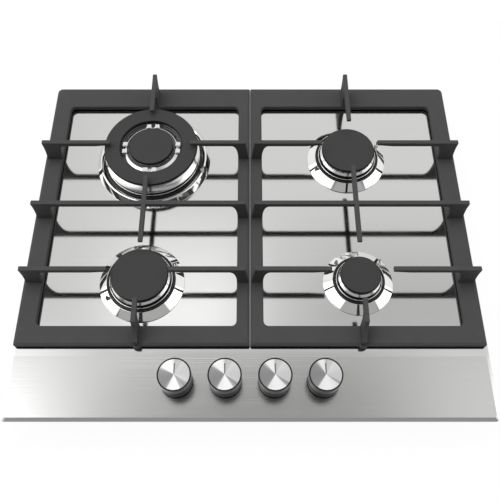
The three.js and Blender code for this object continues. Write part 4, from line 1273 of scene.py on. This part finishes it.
@dataclass
class DoubleBurner(Burner):
    """The large burner with an outer and an inner ring of flames."""

    ring_bore: float = 43.5 * MM
    inner_cap: float = 31 * MM
    channel_depth: float = 14 * MM
    # The dark linings of painted shade in the channels.
    channel_shade_drop: float = 1.5 * MM
    channel_shade_lip: float = 1.2 * MM
    channel_shade_wall: float = 0.4 * MM
    channel_shade_sink: float = 0.2 * MM
    channel_shade_foot: float = 0.3 * MM
    ridge_inner: float = 36 * MM
    ridge_wall: float = 0.6 * MM
    ridge_outer: float = 39.8 * MM
    ridge_slope: float = 1.5 * MM
    ridge_drop: float = 1.6 * MM
    bridge_inner: float = 33 * MM
    bridge_outer: float = 42.2 * MM
    bridge_width: float = 8.6 * MM
    bridge_groove: float = 3.4 * MM
    bridge_rise: float = 1.1 * MM
    bridge_sink: float = 0.5 * MM
    bridge_softness: float = 2.2 * MM
    bridge_segments: int = 6
    inner_ports: int = 28
    port_height: float = 1.6 * MM
    ring_inset: float = 9 * MM
    skirt_flare: float = 10.8 * MM
    skirt_drop: float = 12.3 * MM
    neck_inset: float = -4.5 * MM
    flank_tilts: tuple[float, float] = (44.0, 62.0)
    flank_radius: float = 32 * MM
    flank_steps: int = 12
    bezel_crest: float = 4.8 * MM
    bezel_inner_height: float = 8 * MM
    bezel_corner_steps: int = 8
    head_steps: int = 160

    @property
    def cap_nodes(self) -> tuple[str, ...]:
        """The names of the ring cap's and the inner cap's nodes."""
        return (f"burner_ring_cap_{self.name}", f"burner_inner_cap_{self.name}")

    @property
    def crown_radius(self) -> float:
        """The radius of the crown, well under the ring cap's edge."""
        return self.cap_radius - self.ring_inset

    @property
    def inner_crown(self) -> float:
        """The radius of the inner crown."""
        return self.inner_cap - self.crown_inset

    @property
    def crowns(self) -> tuple[tuple[float, int], ...]:
        """The radius and the number of ports of both crowns."""
        return ((self.crown_radius, self.ports), (self.inner_crown, self.inner_ports))

    def flank(self, edge: Point) -> list[Corner]:
        """Draws a flank that rounds over towards the crown.

        Args:
            edge: The skirt's edge.

        Returns:
            The corners between the edge and the crown.
        """
        start, end = (math.radians(tilt) for tilt in self.flank_tilts)
        corners = []
        for step in range(1, self.flank_steps + 1):
            tilt = start + (end - start) * step / self.flank_steps
            inwards = self.flank_radius * (math.cos(start) - math.cos(tilt))
            upwards = self.flank_radius * (math.sin(tilt) - math.sin(start))
            corners.append((edge[0] - inwards, edge[1] + upwards, 0))
        return corners

    def bezel_slope(self, inner: float) -> list[Corner]:
        """Draws a bezel's upper end that rises from the given radius to a round crest.

        Args:
            inner: The bezel's inner radius.

        Returns:
            The corners from the crest to the inner edge and back under the crest.
        """
        crest = inner + self.bezel_crest
        return [
            (crest, self.bezel_height, 2.4 * MM), (inner, self.bezel_inner_height, 0.4 * MM),
            (inner, self.bezel_inner_height - self.bezel_sheet, 0),
            (crest, self.bezel_height - 2 * self.bezel_sheet, 0),
        ]

    def channel_profile(self) -> list[Corner]:
        """Draws the channel between the two crowns with the ridge on its floor.

        Returns:
            The corners from the outer crown to the inner one.
        """
        outer, inner, floor = self.ring_bore + self.crown_inset, self.inner_crown, self.port_floor
        channel = self.crown_top - self.channel_depth
        ridge = self.crown_top - self.ridge_drop
        ridge_back = self.ridge_inner - self.ridge_wall
        return [
            (outer, floor, 0), (outer, channel, 2 * MM), (self.ridge_outer, channel, 0.5 * MM),
            (self.ridge_outer, ridge - self.ridge_slope, 0.8 * MM), (self.ridge_inner, ridge, 0.5 * MM),
            (ridge_back, ridge, 0), (ridge_back, channel, 0), (inner, channel, 0), (inner, floor, 0.3 * MM),
        ]

    def build_head(self) -> None:
        """Builds the head, the dark linings of painted shade in its channel and the four bridges."""
        super().build_head()
        self.build_channel_shade()
        self.build_bridges()

    def build_channel_shade(self) -> None:
        """Builds the dark linings of the two channels between the crowns, painted shade that stands in for
        the shade deep in the channels.
        """
        low = self.crown_top - self.channel_depth - self.channel_shade_foot
        top = self.port_floor - self.channel_shade_drop
        bore, sink, wall = self.ring_bore + self.crown_inset, self.channel_shade_sink, self.channel_shade_wall
        spans = (
            (self.inner_crown, self.ridge_inner - self.ridge_wall, top),
            (self.ridge_outer, bore, top - self.ridge_slope))
        bm = bmesh.new()
        for inner, outer, lip in spans:
            floor = lip - self.channel_shade_lip
            corners = [
                (inner - sink, low, 0), (outer + sink, low, 0), (outer + sink, lip, 0),
                (outer - wall, lip, 0.2 * MM), (outer - wall, floor, 0.5 * MM),
                (inner + wall, floor, 0.5 * MM), (inner + wall, lip, 0.2 * MM), (inner - sink, lip, 0),
            ]
            lathe(corners, self.centre, self.ring_steps, bm=bm)
        self.head_piece("burner_channel_shade", Finishes.CHANNEL_SHADE).publish(bm)

    def build_bridges(self) -> None:
        """Builds the pairs of blocks that carry the flame across the channel."""
        bm = bmesh.new()
        inner, outer = self.bridge_inner, self.bridge_outer
        low = self.crown_top - self.channel_depth - self.bridge_sink
        high = self.crown_top + self.bridge_rise
        offset = (self.bridge_width + self.bridge_groove) / 2
        size = (outer - inner, self.bridge_width, high - low)
        for quarter in range(4):
            place = Matrix.Translation(self.centre) @ Matrix.Rotation(quarter * FULL_TURN / 4, 4, "Z")
            for side in (-1, 1):
                add_block(bm, place, ((inner + outer) / 2, side * offset, (low + high) / 2), size)
        self.head_piece(
            "burner_bridges", Finishes.HEAD, bevel=self.bridge_softness,
            bevel_segments=self.bridge_segments,
        ).publish(bm)

    def build_caps(self) -> None:
        """Builds the ring cap and the inner cap."""
        ring, inner = self.cap_nodes
        top, bore, radius = self.cap_top, self.ring_bore, self.cap_radius
        under = top - self.cap_thickness
        corners = [
            (bore, under, 0.5 * MM), (radius, under, 0.5 * MM), (radius, top, self.cap_edge),
            (bore, top, self.cap_edge),
        ]
        Piece(
            f"{ring}_enamel", Finishes.ENAMEL, f"ring_cap_{self.name}", "cap_enamel", (ring,),
        ).publish(lathe(corners, self.centre, self.head_steps, corner_steps=self.cap_corner_steps))
        self.build_cap(inner, f"inner_cap_{self.name}")


# ---------------------------------------------------------------------------
# Pan supports
# ---------------------------------------------------------------------------


@dataclass
class PanSupport:
    """One cast pan support: a flat frame with fins that carry the fingers."""

    side: int
    rear: Burner
    front: Burner
    rear_reach: float
    front_reach: float = 39 * MM
    outer_bar: float = 25 * MM
    centre_bar: float = 17 * MM
    front_bar: float = 26.2 * MM
    rear_bar: float = 36.5 * MM
    toe_overhang: float = 3 * MM
    toe_radius: float = 6 * MM
    lift: float = 1.5 * MM
    frame_top: float = 8.75 * MM
    chamfer_width: float = 3.5 * MM
    chamfer_drop: float = 2.4 * MM
    window_chamfer: float = 1.2 * MM
    bottom_chamfer: float = 0.8 * MM
    edge_softness: float = 0.8 * MM
    corner_radius: float = 7 * MM
    tight_radius: float = 2.4 * MM
    window_radius: float = 7 * MM
    corner_share: float = 0.4
    least_radius: float = 1 * MM
    seam_trim: float = 0.27 * MM
    thickness: float = 6 * MM
    depth: float = 7 * MM
    tip_depth: float = 4.6 * MM
    tip_taper: float = 22 * MM
    taper_gap: float = 1 * MM
    gusset_reach: float = 8.5 * MM
    gusset_drop: float = 23 * MM
    gusset_handle: Point = (1.2 * MM, 1.5 * MM)
    fin_sink: float = 2 * MM
    ear_inset: float = 4.6 * MM
    ear_spread: float = 2 * MM
    ear_waist: float = 1.5 * MM
    rear_ear_inset: float = 5.8 * MM
    rear_ear_foot: float = 1 * MM
    rear_ear_waist: float = 6.4 * MM
    ear_tip: float = 2.5 * MM
    seam_foot: float = 2.2 * MM
    seam_top: float = 6 * MM
    shoulder_inset: float = 0.5 * MM
    shoulder_sink: float = 4 * MM
    shoulder_reach: float = 17 * MM
    shoulder_height: float = 18 * MM
    shoulder_bulge: float = 0.8
    shoulder_rise: float = 10 * MM
    middle_bar: float = 22 * MM
    long_finger: float = 141.8 * MM
    crossing_drop: float = 0.15 * MM
    foot_radius: float = 5 * MM
    foot_inset: float = 24 * MM
    foot_gap: float = 0.3 * MM
    foot_steps: int = 40
    toe_steps: int = 56

    def __post_init__(self) -> None:
        """Works out where the frame's edges and its window lie, from the node."""
        low, high = node_box(self.node)
        self.top = high.z
        self.seam = min(abs(low.x), abs(high.x)) - self.seam_trim
        self.outer = max(abs(low.x), abs(high.x))
        self.front_edge = low.y + self.toe_overhang
        self.rear_edge = high.y
        self.window_outer = self.outer - self.outer_bar
        self.window_inner = self.seam + self.centre_bar
        self.window_front = self.front_edge + self.front_bar
        self.window_rear = self.rear_edge - self.rear_bar

    @property
    def node(self) -> str:
        """The name of the support's node."""
        return "grate_right" if self.side > 0 else "grate_left"

    @property
    def fin_foot(self) -> float:
        """The height of the fins' feet, which reach into the frame."""
        return PLATE_TOP + self.frame_top - self.fin_sink

    def build(self) -> None:
        """Builds the frame, its fins, fingers and feet as one casting."""
        bm = bmesh.new()
        self.add_frame(bm)
        self.add_fingers(bm)
        self.add_feet(bm)
        Piece(
            f"cast_{self.node}", Finishes.CAST_IRON, self.node, "cast_iron", (self.node,),
            bevel=self.edge_softness,
        ).publish(bm)

    def span(self, first: float, second: float) -> tuple[float, float]:
        """Gives two distances from the middle as ordered coordinates on this side."""
        return tuple(sorted((self.side * first, self.side * second)))

    def add_frame(self, bm: BMesh) -> None:
        """Adds the flat frame with its chamfers.

        Args:
            bm: Takes the frame.
        """
        bottom, top = PLATE_TOP + self.lift, PLATE_TOP + self.frame_top
        x_out = self.span(self.seam, self.outer)
        x_in = self.span(self.window_inner, self.window_outer)

        def outer(inset: float, height: float) -> list[BMVert]:
            """Draws the outer outline.

            Args:
                inset: How far it is moved in.
                height: Its height.

            Returns:
                The vertices in order.
            """
            near, far = self.front_edge + inset, self.rear_edge - inset
            left, right = x_out[0] + inset, x_out[1] - inset
            wide, tight = (
                max(radius - inset * self.corner_share, self.least_radius)
                for radius in (self.corner_radius, self.tight_radius))
            rear_left, rear_right = (wide, tight) if self.side < 0 else (tight, wide)
            corners = [
                (left, near, tight), (right, near, tight), (right, far, rear_right), (left, far, rear_left)]
            return draw_ring(bm, rounded(corners, steps=BOX_CORNER_STEPS), height)

        def window(grow: float, height: float) -> list[BMVert]:
            """Draws the window's outline.

            Args:
                grow: How far it is moved out.
                height: Its height.

            Returns:
                The vertices in order.
            """
            near = (x_in[0] - grow, self.window_front - grow)
            far = (x_in[1] + grow, self.window_rear + grow)
            radius = self.window_radius + grow * self.corner_share
            return draw_ring(bm, rounded_box(near, far, radius), height)

        skin(bm, [
            outer(self.bottom_chamfer, bottom), outer(0.0, bottom + self.bottom_chamfer),
            outer(0.0, top - self.chamfer_drop), outer(self.chamfer_width, top),
            window(self.window_chamfer, top), window(0.0, top - self.window_chamfer), window(0.0, bottom),
        ], closed=True)

    def flare(self, foot: float, waist: float, ear: float) -> list[Point]:
        """Draws the outer side of a fin, which draws in over the frame and ends in an ear.

        Args:
            foot: Where it meets the frame.
            waist: The handle that draws it in.
            ear: Where the ear's tip is.

        Returns:
            The outline from the foot to the top.
        """
        start = (foot, self.fin_foot)
        handle = (waist, (self.fin_foot + self.top) / 2)
        return [start, *curve(start, handle, (ear, self.top - self.ear_tip)), (ear, self.top)]

    def gusset(self, root: float, away: float) -> list[Point]:
        """Draws the curve from the underside of a finger or bar down to its root.

        Args:
            root: Where the fin meets the window's edge.
            away: 1 where the curve runs upwards along its axis, otherwise -1.

        Returns:
            The outline from the underside to the root.
        """
        under = self.top - self.depth
        across, down = self.gusset_handle
        start = (root - away * self.gusset_reach, under)
        return [start, *curve(start, (root - away * across, under - down), (root, under - self.gusset_drop))]

    def fin(self, tip: float, root: float, ear: Corner) -> list[Point]:
        """Draws a finger that rises from the frame on a fin.

        Args:
            tip: Where the finger ends over the burner.
            root: Where the fin meets the window's edge.
            ear: The foot, the waist and the tip of the fin's outer side.

        Returns:
            The outline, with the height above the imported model's origin.
        """
        return [*self.flare(*ear), (tip, self.top), *self.underside(tip, root, self.fin_foot)]

    def underside(self, tip: float, root: float, foot: float) -> list[Point]:
        """Draws the underside from a finger's tip to its root.

        Args:
            tip: Where the finger ends over the burner.
            root: Where the fin meets the window's edge.
            foot: The height of the fin's foot.

        Returns:
            The outline's points.
        """
        away = math.copysign(1, root - tip)
        taper = min(self.tip_taper, abs(root - tip) - self.gusset_reach - self.taper_gap)
        return [
            (tip, self.top - self.tip_depth), (tip + away * taper, self.top - self.depth),
            *self.gusset(root, away), (root, foot)]

    def bar(self) -> list[Point]:
        """Draws the middle bar, which has a fin at both ends.

        Returns:
            The outline on the right side.
        """
        ear, foot = self.outer - self.ear_inset, self.fin_foot
        return [
            *self.flare(ear + self.ear_spread, ear - self.ear_waist, ear),
            (self.seam + self.seam_top, self.top), (self.seam + self.seam_foot, foot),
            (self.window_inner, foot), *reversed(self.gusset(self.window_inner, -1)),
            *self.gusset(self.window_outer, 1), (self.window_outer, foot)]

    def mirrored(self, outline: Sequence[Point]) -> list[Point]:
        """Moves an outline that is drawn on the right to this side."""
        return [(self.side * level, height) for level, height in outline]

    def add_fingers(self, bm: BMesh) -> None:
        """Adds the bars and fingers.

        Args:
            bm: Takes them.
        """
        across_x, across_y = Vector((1, 0, 0)), Vector((0, 1, 0))
        add_slab(bm, self.mirrored(self.bar()), across_y, self.middle_bar, self.thickness)
        ear, seam = self.outer - self.ear_inset, self.seam
        outer_ear = (ear + self.ear_spread, ear - self.ear_waist, ear)
        seam_waist = seam + (self.seam_foot + self.seam_top) / 2
        inner_ear = (seam + self.seam_foot, seam_waist, seam + self.seam_top)
        for burner, reach in ((self.rear, self.rear_reach), (self.front, self.front_reach)):
            distance = abs(burner.centre.x)
            outer = self.fin(distance + reach, self.window_outer, outer_ear)
            inner = self.fin(distance - reach, self.window_inner, inner_ear)
            for outline in (outer, inner):
                add_slab(bm, self.mirrored(outline), across_y, burner.centre.y, self.thickness)
        for outline in (self.rear_finger(), self.cross_finger(), self.front_finger()):
            lowered = [(level, min(height, self.top - self.crossing_drop)) for level, height in outline]
            add_slab(bm, lowered, across_x, self.side * self.long_finger, self.thickness)

    def rear_finger(self) -> list[Point]:
        """Draws the finger over the rear bar.

        Returns:
            The outline.
        """
        ear = self.rear_edge - self.rear_ear_inset
        sides = (ear - self.rear_ear_foot, ear - self.rear_ear_waist, ear)
        return self.fin(self.rear.centre.y + self.rear_reach, self.window_rear, sides)

    def cross_finger(self) -> list[Point]:
        """Draws the finger that crosses the middle bar between the two burners.

        Returns:
            The outline.
        """
        rear, front = self.rear.centre.y - self.rear_reach, self.front.centre.y + self.front_reach
        under, tip = self.top - self.depth, self.top - self.tip_depth
        return [
            (front, self.top), (front, tip), (front + self.tip_taper, under),
            (rear - self.tip_taper, under), (rear, tip), (rear, self.top)]

    def front_finger(self) -> list[Point]:
        """Draws the front finger with its shoulder over the front bar.

        Returns:
            The outline.
        """
        foot = PLATE_TOP + self.frame_top - self.shoulder_sink
        front = self.front_edge + self.shoulder_inset
        shoulder = PLATE_TOP + self.shoulder_height
        tip = self.front.centre.y - self.front_reach
        handle = (front + self.shoulder_reach * self.shoulder_bulge, shoulder + self.shoulder_rise)
        return [
            (front, foot), (front, shoulder),
            *curve((front, shoulder), handle, (front + self.shoulder_reach, self.top)),
            (tip, self.top), *self.underside(tip, self.window_front, foot)]

    def add_feet(self, bm: BMesh) -> None:
        """Adds the front toe and the corner feet.

        Args:
            bm: Takes them.
        """
        bottom = PLATE_TOP + self.foot_gap
        top = PLATE_TOP + self.frame_top - self.chamfer_drop
        toe = (self.side * self.long_finger, self.front_edge + self.toe_radius - self.toe_overhang)
        add_column(bm, toe, self.toe_radius, bottom, top, self.toe_steps)
        for x in (self.outer - self.foot_inset, self.seam + self.centre_bar / 2):
            for y in (self.front_edge + self.front_bar / 2, self.rear_edge - self.rear_bar / 2):
                add_column(bm, (self.side * x, y), self.foot_radius, bottom, top, self.foot_steps)


# ---------------------------------------------------------------------------
# Knobs
# ---------------------------------------------------------------------------


@dataclass
class Knob:
    """One push-and-turn knob with a turned face and a dark polished side."""

    number: int
    rim: float = 1.8 * MM
    sleeve_height: float = 16 * MM
    sleeve_inset: float = 0.15 * MM
    face_drop: float = 0.35 * MM
    face_rise: float = 0.5 * MM
    face_gap: float = 0.05 * MM
    face_thickness: float = 0.9 * MM
    recess: float = 1 * MM
    edge: float = 0.6 * MM
    pointer_width: float = 1.3 * MM
    pointer_start: float = 0.6 * MM
    pointer_end: float = 13.5 * MM
    pointer_thickness: float = 0.8 * MM
    pointer_rise: float = 0.08 * MM
    pointer_softness: float = 0.15 * MM
    socket: float = 4.3 * MM
    steps: int = 128
    corner_steps: int = 5

    @property
    def node(self) -> str:
        """The name of the knob's node."""
        return f"knob_{self.number}"

    @property
    def centre(self) -> Vector:
        """The knob's centre on the plate."""
        return on_plate(self.node)

    def piece(self, part: str, finish: Finish, **more: object) -> Piece:
        """Describes one piece of the knob, all of which turn together."""
        return Piece(f"knob_{part}_{self.number}", finish, f"turn_{self.number}", "knob_metal", **more)

    def turned(self, corners: Sequence[Corner], closed: bool = False) -> BMesh:
        """Spins an outline about the knob's axis."""
        return lathe(corners, self.centre, self.steps, closed, self.corner_steps)

    def build(self) -> None:
        """Builds the side, the face and the pointer line."""
        bottom, top = heights(self.node)
        radius = half_width(self.node)
        face_radius, sleeve_radius = radius - self.rim, radius - self.sleeve_inset
        seat, joint = top - self.face_drop, bottom + self.sleeve_height
        band = [
            (0, joint, 0), (radius, joint, 0.2 * MM), (radius, top, self.edge), (face_radius, top, 0.2 * MM),
            (face_radius, seat - self.recess, 0), (0, seat - self.recess, 0),
        ]
        self.piece("band", Finishes.KNOB_BAND, nodes=(self.node,)).publish(self.turned(band))
        sleeve = [
            (self.socket, bottom, 0.2 * MM), (sleeve_radius, bottom, 0.4 * MM), (sleeve_radius, joint, 0),
            (self.socket, joint, 0),
        ]
        self.piece("sleeve", Finishes.KNOB_SLEEVE).publish(self.turned(sleeve, closed=True))
        self.build_face(face_radius - self.face_gap, seat)
        self.build_pointer(seat)

    def build_face(self, radius: float, seat: float) -> None:
        """Builds the turned face, a very shallow cone.

        Args:
            radius: Its radius.
            seat: The height of its edge above the plate.
        """
        low = seat - self.face_thickness
        corners = [(0, low, 0), (radius, low, 0), (radius, seat, 0), (0, seat + self.face_rise, 0)]
        self.piece("face", Finishes.KNOB_FACE, smooth_angle=30, weighted=False).publish(
            self.turned(corners))

    def build_pointer(self, seat: float) -> None:
        """Builds the dark line that points to the back.

        Args:
            seat: The height of the face's edge above the plate.
        """
        bm = bmesh.new()
        start, end = self.pointer_start, self.pointer_end
        size = (self.pointer_width, end - start, self.pointer_thickness)
        spot = (0, (start + end) / 2, seat + self.pointer_rise)
        add_block(bm, Matrix.Translation(self.centre), spot, size)
        self.piece("pointer", Finishes.POINTER, bevel=self.pointer_softness).publish(bm)


# ---------------------------------------------------------------------------
# Studio
# ---------------------------------------------------------------------------


@dataclass(frozen=True)
class Card:
    """A light or dark card over the cooktop, given by where it is seen from there.

    Each edge is a place and a softness in the plane one unit overhead: a place of 1 is seen at 45
    degrees. The level is what the card adds to the surroundings.
    """

    left: Point
    right: Point
    near: Point
    far: Point
    level: float


@dataclass(frozen=True)
class Softbox:
    """A rectangular light panel to one side, seen from the cooktop."""

    direction: Corner
    half_width: float
    half_height: float
    softness: float
    strength: float
    roll: float = 0.0


FAR_AWAY = 60.0
JUST_AHEAD = 0.01
NOT_ZERO = 1e-3
WHITE = (1, 1, 1, 1)


@dataclass
class Studio:
    """The floor, the surroundings and the lamp."""

    floor_size: float = 14.0
    wall_level: float = 0.94
    floor_white: float = 0.94
    floor_paint: float = 0.9
    lowest_look: float = 0.02
    lamp_size: Point = (1.6, 1.0)
    lamp_power: float = 16.0
    lamp_place: Corner = (-0.3, 0.5, 1.9)
    cards: tuple[Card, ...] = (
        Card((-0.19, 0.22), (0.25, 0.17), (-0.3, 0.1), (0.318, 0.01), -0.52),
        Card((-FAR_AWAY, 1.0), (-0.35, 0.2), (-0.3, 0.1), (0.35, 0.02), 0.75),
        Card((-0.23, 0.12), (-0.01, 0.12), (0.35, 0.02), (0.49, 0.26), 0.53),
        Card((0.08, 0.14), (FAR_AWAY, 1.0), (0.35, 0.02), (0.5, 0.28), -0.33),
        Card((-FAR_AWAY, 1.0), (-0.33, 0.1), (0.35, 0.02), (1.2, 0.2), -0.08),
        Card((-FAR_AWAY, 1.0), (FAR_AWAY, 1.0), (-FAR_AWAY, 1.0), (-0.45, 0.3), -0.82),
    )
    panels: tuple[Softbox, ...] = (
        Softbox((-0.81, -0.09, 0.57), 0.5, 0.68, 0.02, 1.0, roll=-16.0),
        Softbox((0.93, -0.14, 0.31), 0.4, 0.44, 0.02, 1.0),
        Softbox((0.0, -0.87, 0.49), 1.1, 0.46, 0.06, 0.3),
    )

    def build(self) -> None:
        """Builds the studio."""
        self.build_world()
        self.build_floor()
        self.build_lamp()

    def build_world(self) -> None:
        """Builds the surroundings: plain white to the camera, shaded for everything else."""
        world = bpy.data.worlds.new("studio")
        bpy.context.scene.world = world
        world.use_nodes = True
        nodes = NodeTree(world.node_tree)
        world.node_tree.nodes.clear()
        direction = nodes.add("ShaderNodeTexCoord").outputs["Generated"]
        parts = nodes.split(direction)
        height = nodes.math("MAXIMUM", parts["Z"], self.lowest_look)
        across = nodes.math("DIVIDE", parts["X"], height)
        along = nodes.math("DIVIDE", parts["Y"], height)
        level: object = self.wall_level
        for card in self.cards:
            share = self.card_share(nodes, across, along, card)
            level = nodes.math("MULTIPLY_ADD", share, card.level, level)
        for panel in self.panels:
            share = self.panel_share(nodes, direction, panel)
            level = nodes.math("MULTIPLY_ADD", share, panel.strength, level)
        shaded = nodes.add("ShaderNodeBackground", {"Color": WHITE, "Strength": level}).outputs[0]
        plain = nodes.add("ShaderNodeBackground", {"Color": WHITE, "Strength": 1.0}).outputs[0]
        camera_ray = nodes.add("ShaderNodeLightPath").outputs["Is Camera Ray"]
        mixed = nodes.add("ShaderNodeMixShader", {0: camera_ray, 1: shaded, 2: plain})
        nodes.add("ShaderNodeOutputWorld", {"Surface": mixed.outputs[0]})

    @staticmethod
    def card_share(nodes: NodeTree, across: object, along: object, card: Card) -> NodeSocket:
        """Works out how far a direction lies inside a card.

        Args:
            nodes: The world's tree.
            across: The output with the place from left to right.
            along: The output with the place from front to back.
            card: The card.

        Returns:
            A value from 0 outside to 1 inside.
        """
        share: object = 1.0
        edges = (
            (across, card.left, 1), (across, card.right, -1), (along, card.near, 1), (along, card.far, -1))
        for place, (edge, softness), sign in edges:
            start = 0.5 - sign * edge / softness
            inside = nodes.math("MULTIPLY_ADD", place, sign / softness, start, clamp=True)
            share = nodes.math("MULTIPLY", share, inside)
        return share

    @staticmethod
    def panel_share(nodes: NodeTree, direction: object, panel: Softbox) -> NodeSocket:
        """Works out how far a direction lies inside a light panel.

        Args:
            nodes: The world's tree.
            direction: The output with the direction looked in.
            panel: The panel.

        Returns:
            A value from 0 outside to 1 inside.
        """

        def reach(axis: Vector) -> NodeSocket:
            """Gives how far the direction runs along an axis."""
            vectors = {0: direction, 1: tuple(axis)}
            return nodes.add("ShaderNodeVectorMath", vectors, operation="DOT_PRODUCT").outputs["Value"]

        axis = Vector(panel.direction).normalized()
        level = axis.cross(UP).normalized()
        right = Matrix.Rotation(math.radians(panel.roll), 3, axis) @ level
        up = right.cross(axis)
        ahead = nodes.math("MAXIMUM", reach(axis), NOT_ZERO)
        share: object = nodes.math("GREATER_THAN", ahead, JUST_AHEAD)
        for side, half in ((right, panel.half_width), (up, panel.half_height)):
            off = nodes.math("ABSOLUTE", nodes.math("DIVIDE", reach(side), ahead))
            edge = nodes.math("DIVIDE", nodes.math("SUBTRACT", half, off), panel.softness, clamp=True)
            share = nodes.math("MULTIPLY", share, edge)
        return share

    def build_floor(self) -> None:
        """Builds the pale floor, which keeps the cooktop's shadow."""
        material = bpy.data.materials.new("floor_white")
        material.use_nodes = True
        nodes = NodeTree(material.node_tree)
        material.node_tree.nodes.clear()
        paint = nodes.add("ShaderNodeBsdfDiffuse", {"Color": (*[self.floor_paint] * 3, 1)}).outputs[0]
        glow = nodes.add("ShaderNodeEmission", {"Color": WHITE, "Strength": 1.0}).outputs[0]
        path = nodes.add("ShaderNodeLightPath").outputs
        seen = nodes.math("MAXIMUM", path["Is Camera Ray"], path["Is Glossy Ray"])
        seen = nodes.math("MAXIMUM", seen, path["Is Transmission Ray"])
        share = nodes.math("MULTIPLY", seen, self.floor_white)
        mixed = nodes.add("ShaderNodeMixShader", {0: share, 1: paint, 2: glow})
        nodes.add("ShaderNodeOutputMaterial", {"Surface": mixed.outputs[0]})
        bm = bmesh.new()
        bmesh.ops.create_grid(bm, x_segments=1, y_segments=1, size=self.floor_size / 2)
        floor = add_object("floor", make_mesh("floor", bm, material))

    def build_lamp(self) -> None:
        """Builds the one soft lamp over the cooktop."""
        data = bpy.data.lights.new("overhead", "AREA")
        data.shape = "RECTANGLE"
        data.size, data.size_y = self.lamp_size
        data.energy = self.lamp_power
        lamp = add_object("overhead", data)
        lamp.location = self.lamp_place
        lamp.rotation_euler = (-lamp.location).to_track_quat("-Z", "Y").to_euler()
        lamp.visible_glossy = False


@dataclass(frozen=True)
class PhotoCamera:
    """The camera fitted to the photograph."""

    distance_front: float = 410.9 * MM
    height: float = 807.1 * MM
    tilt: float = 27.08
    lens: float = 44.83
    sensor: float = 36.0
    nearest: float = 10 * MM

    def build(self) -> None:
        """Places the camera in front of and above the cooktop."""
        data = bpy.data.cameras.new("camera")
        data.lens = self.lens
        data.sensor_width = self.sensor
        data.clip_start = self.nearest
        camera = add_object("camera", data)
        camera.location = (0, -self.distance_front, self.height)
        camera.rotation_euler = (math.radians(self.tilt), 0, 0)
        bpy.context.scene.camera = camera


# ---------------------------------------------------------------------------
# Assembly
# ---------------------------------------------------------------------------


def main() -> None:
    """Builds the camera, the cooktop and the studio."""
    logging.basicConfig(level=logging.INFO, format="%(name)s: %(message)s")
    bpy.context.scene.view_settings.view_transform = "Standard"
    PhotoCamera().build()
    wok = DoubleBurner("rear_left", ports=40)
    front_left = Burner("front_left", ports=28)
    rear_right = Burner("rear_right", ports=28)
    front_right = Burner("front_right", ports=20)
    burners = [wok, front_left, rear_right, front_right]
    knobs = [Knob(number) for number in range(1, 5)]
    TopPlate().build(burners, knobs)
    for burner in burners:
        burner.build()
    PanSupport(-1, wok, front_left, rear_reach=56 * MM).build()
    PanSupport(1, rear_right, front_right, rear_reach=39 * MM).build()
    for knob in knobs:
        knob.build()
    HiddenNodes().dress()
    Studio().build()


if __name__ == "__main__":
    main()
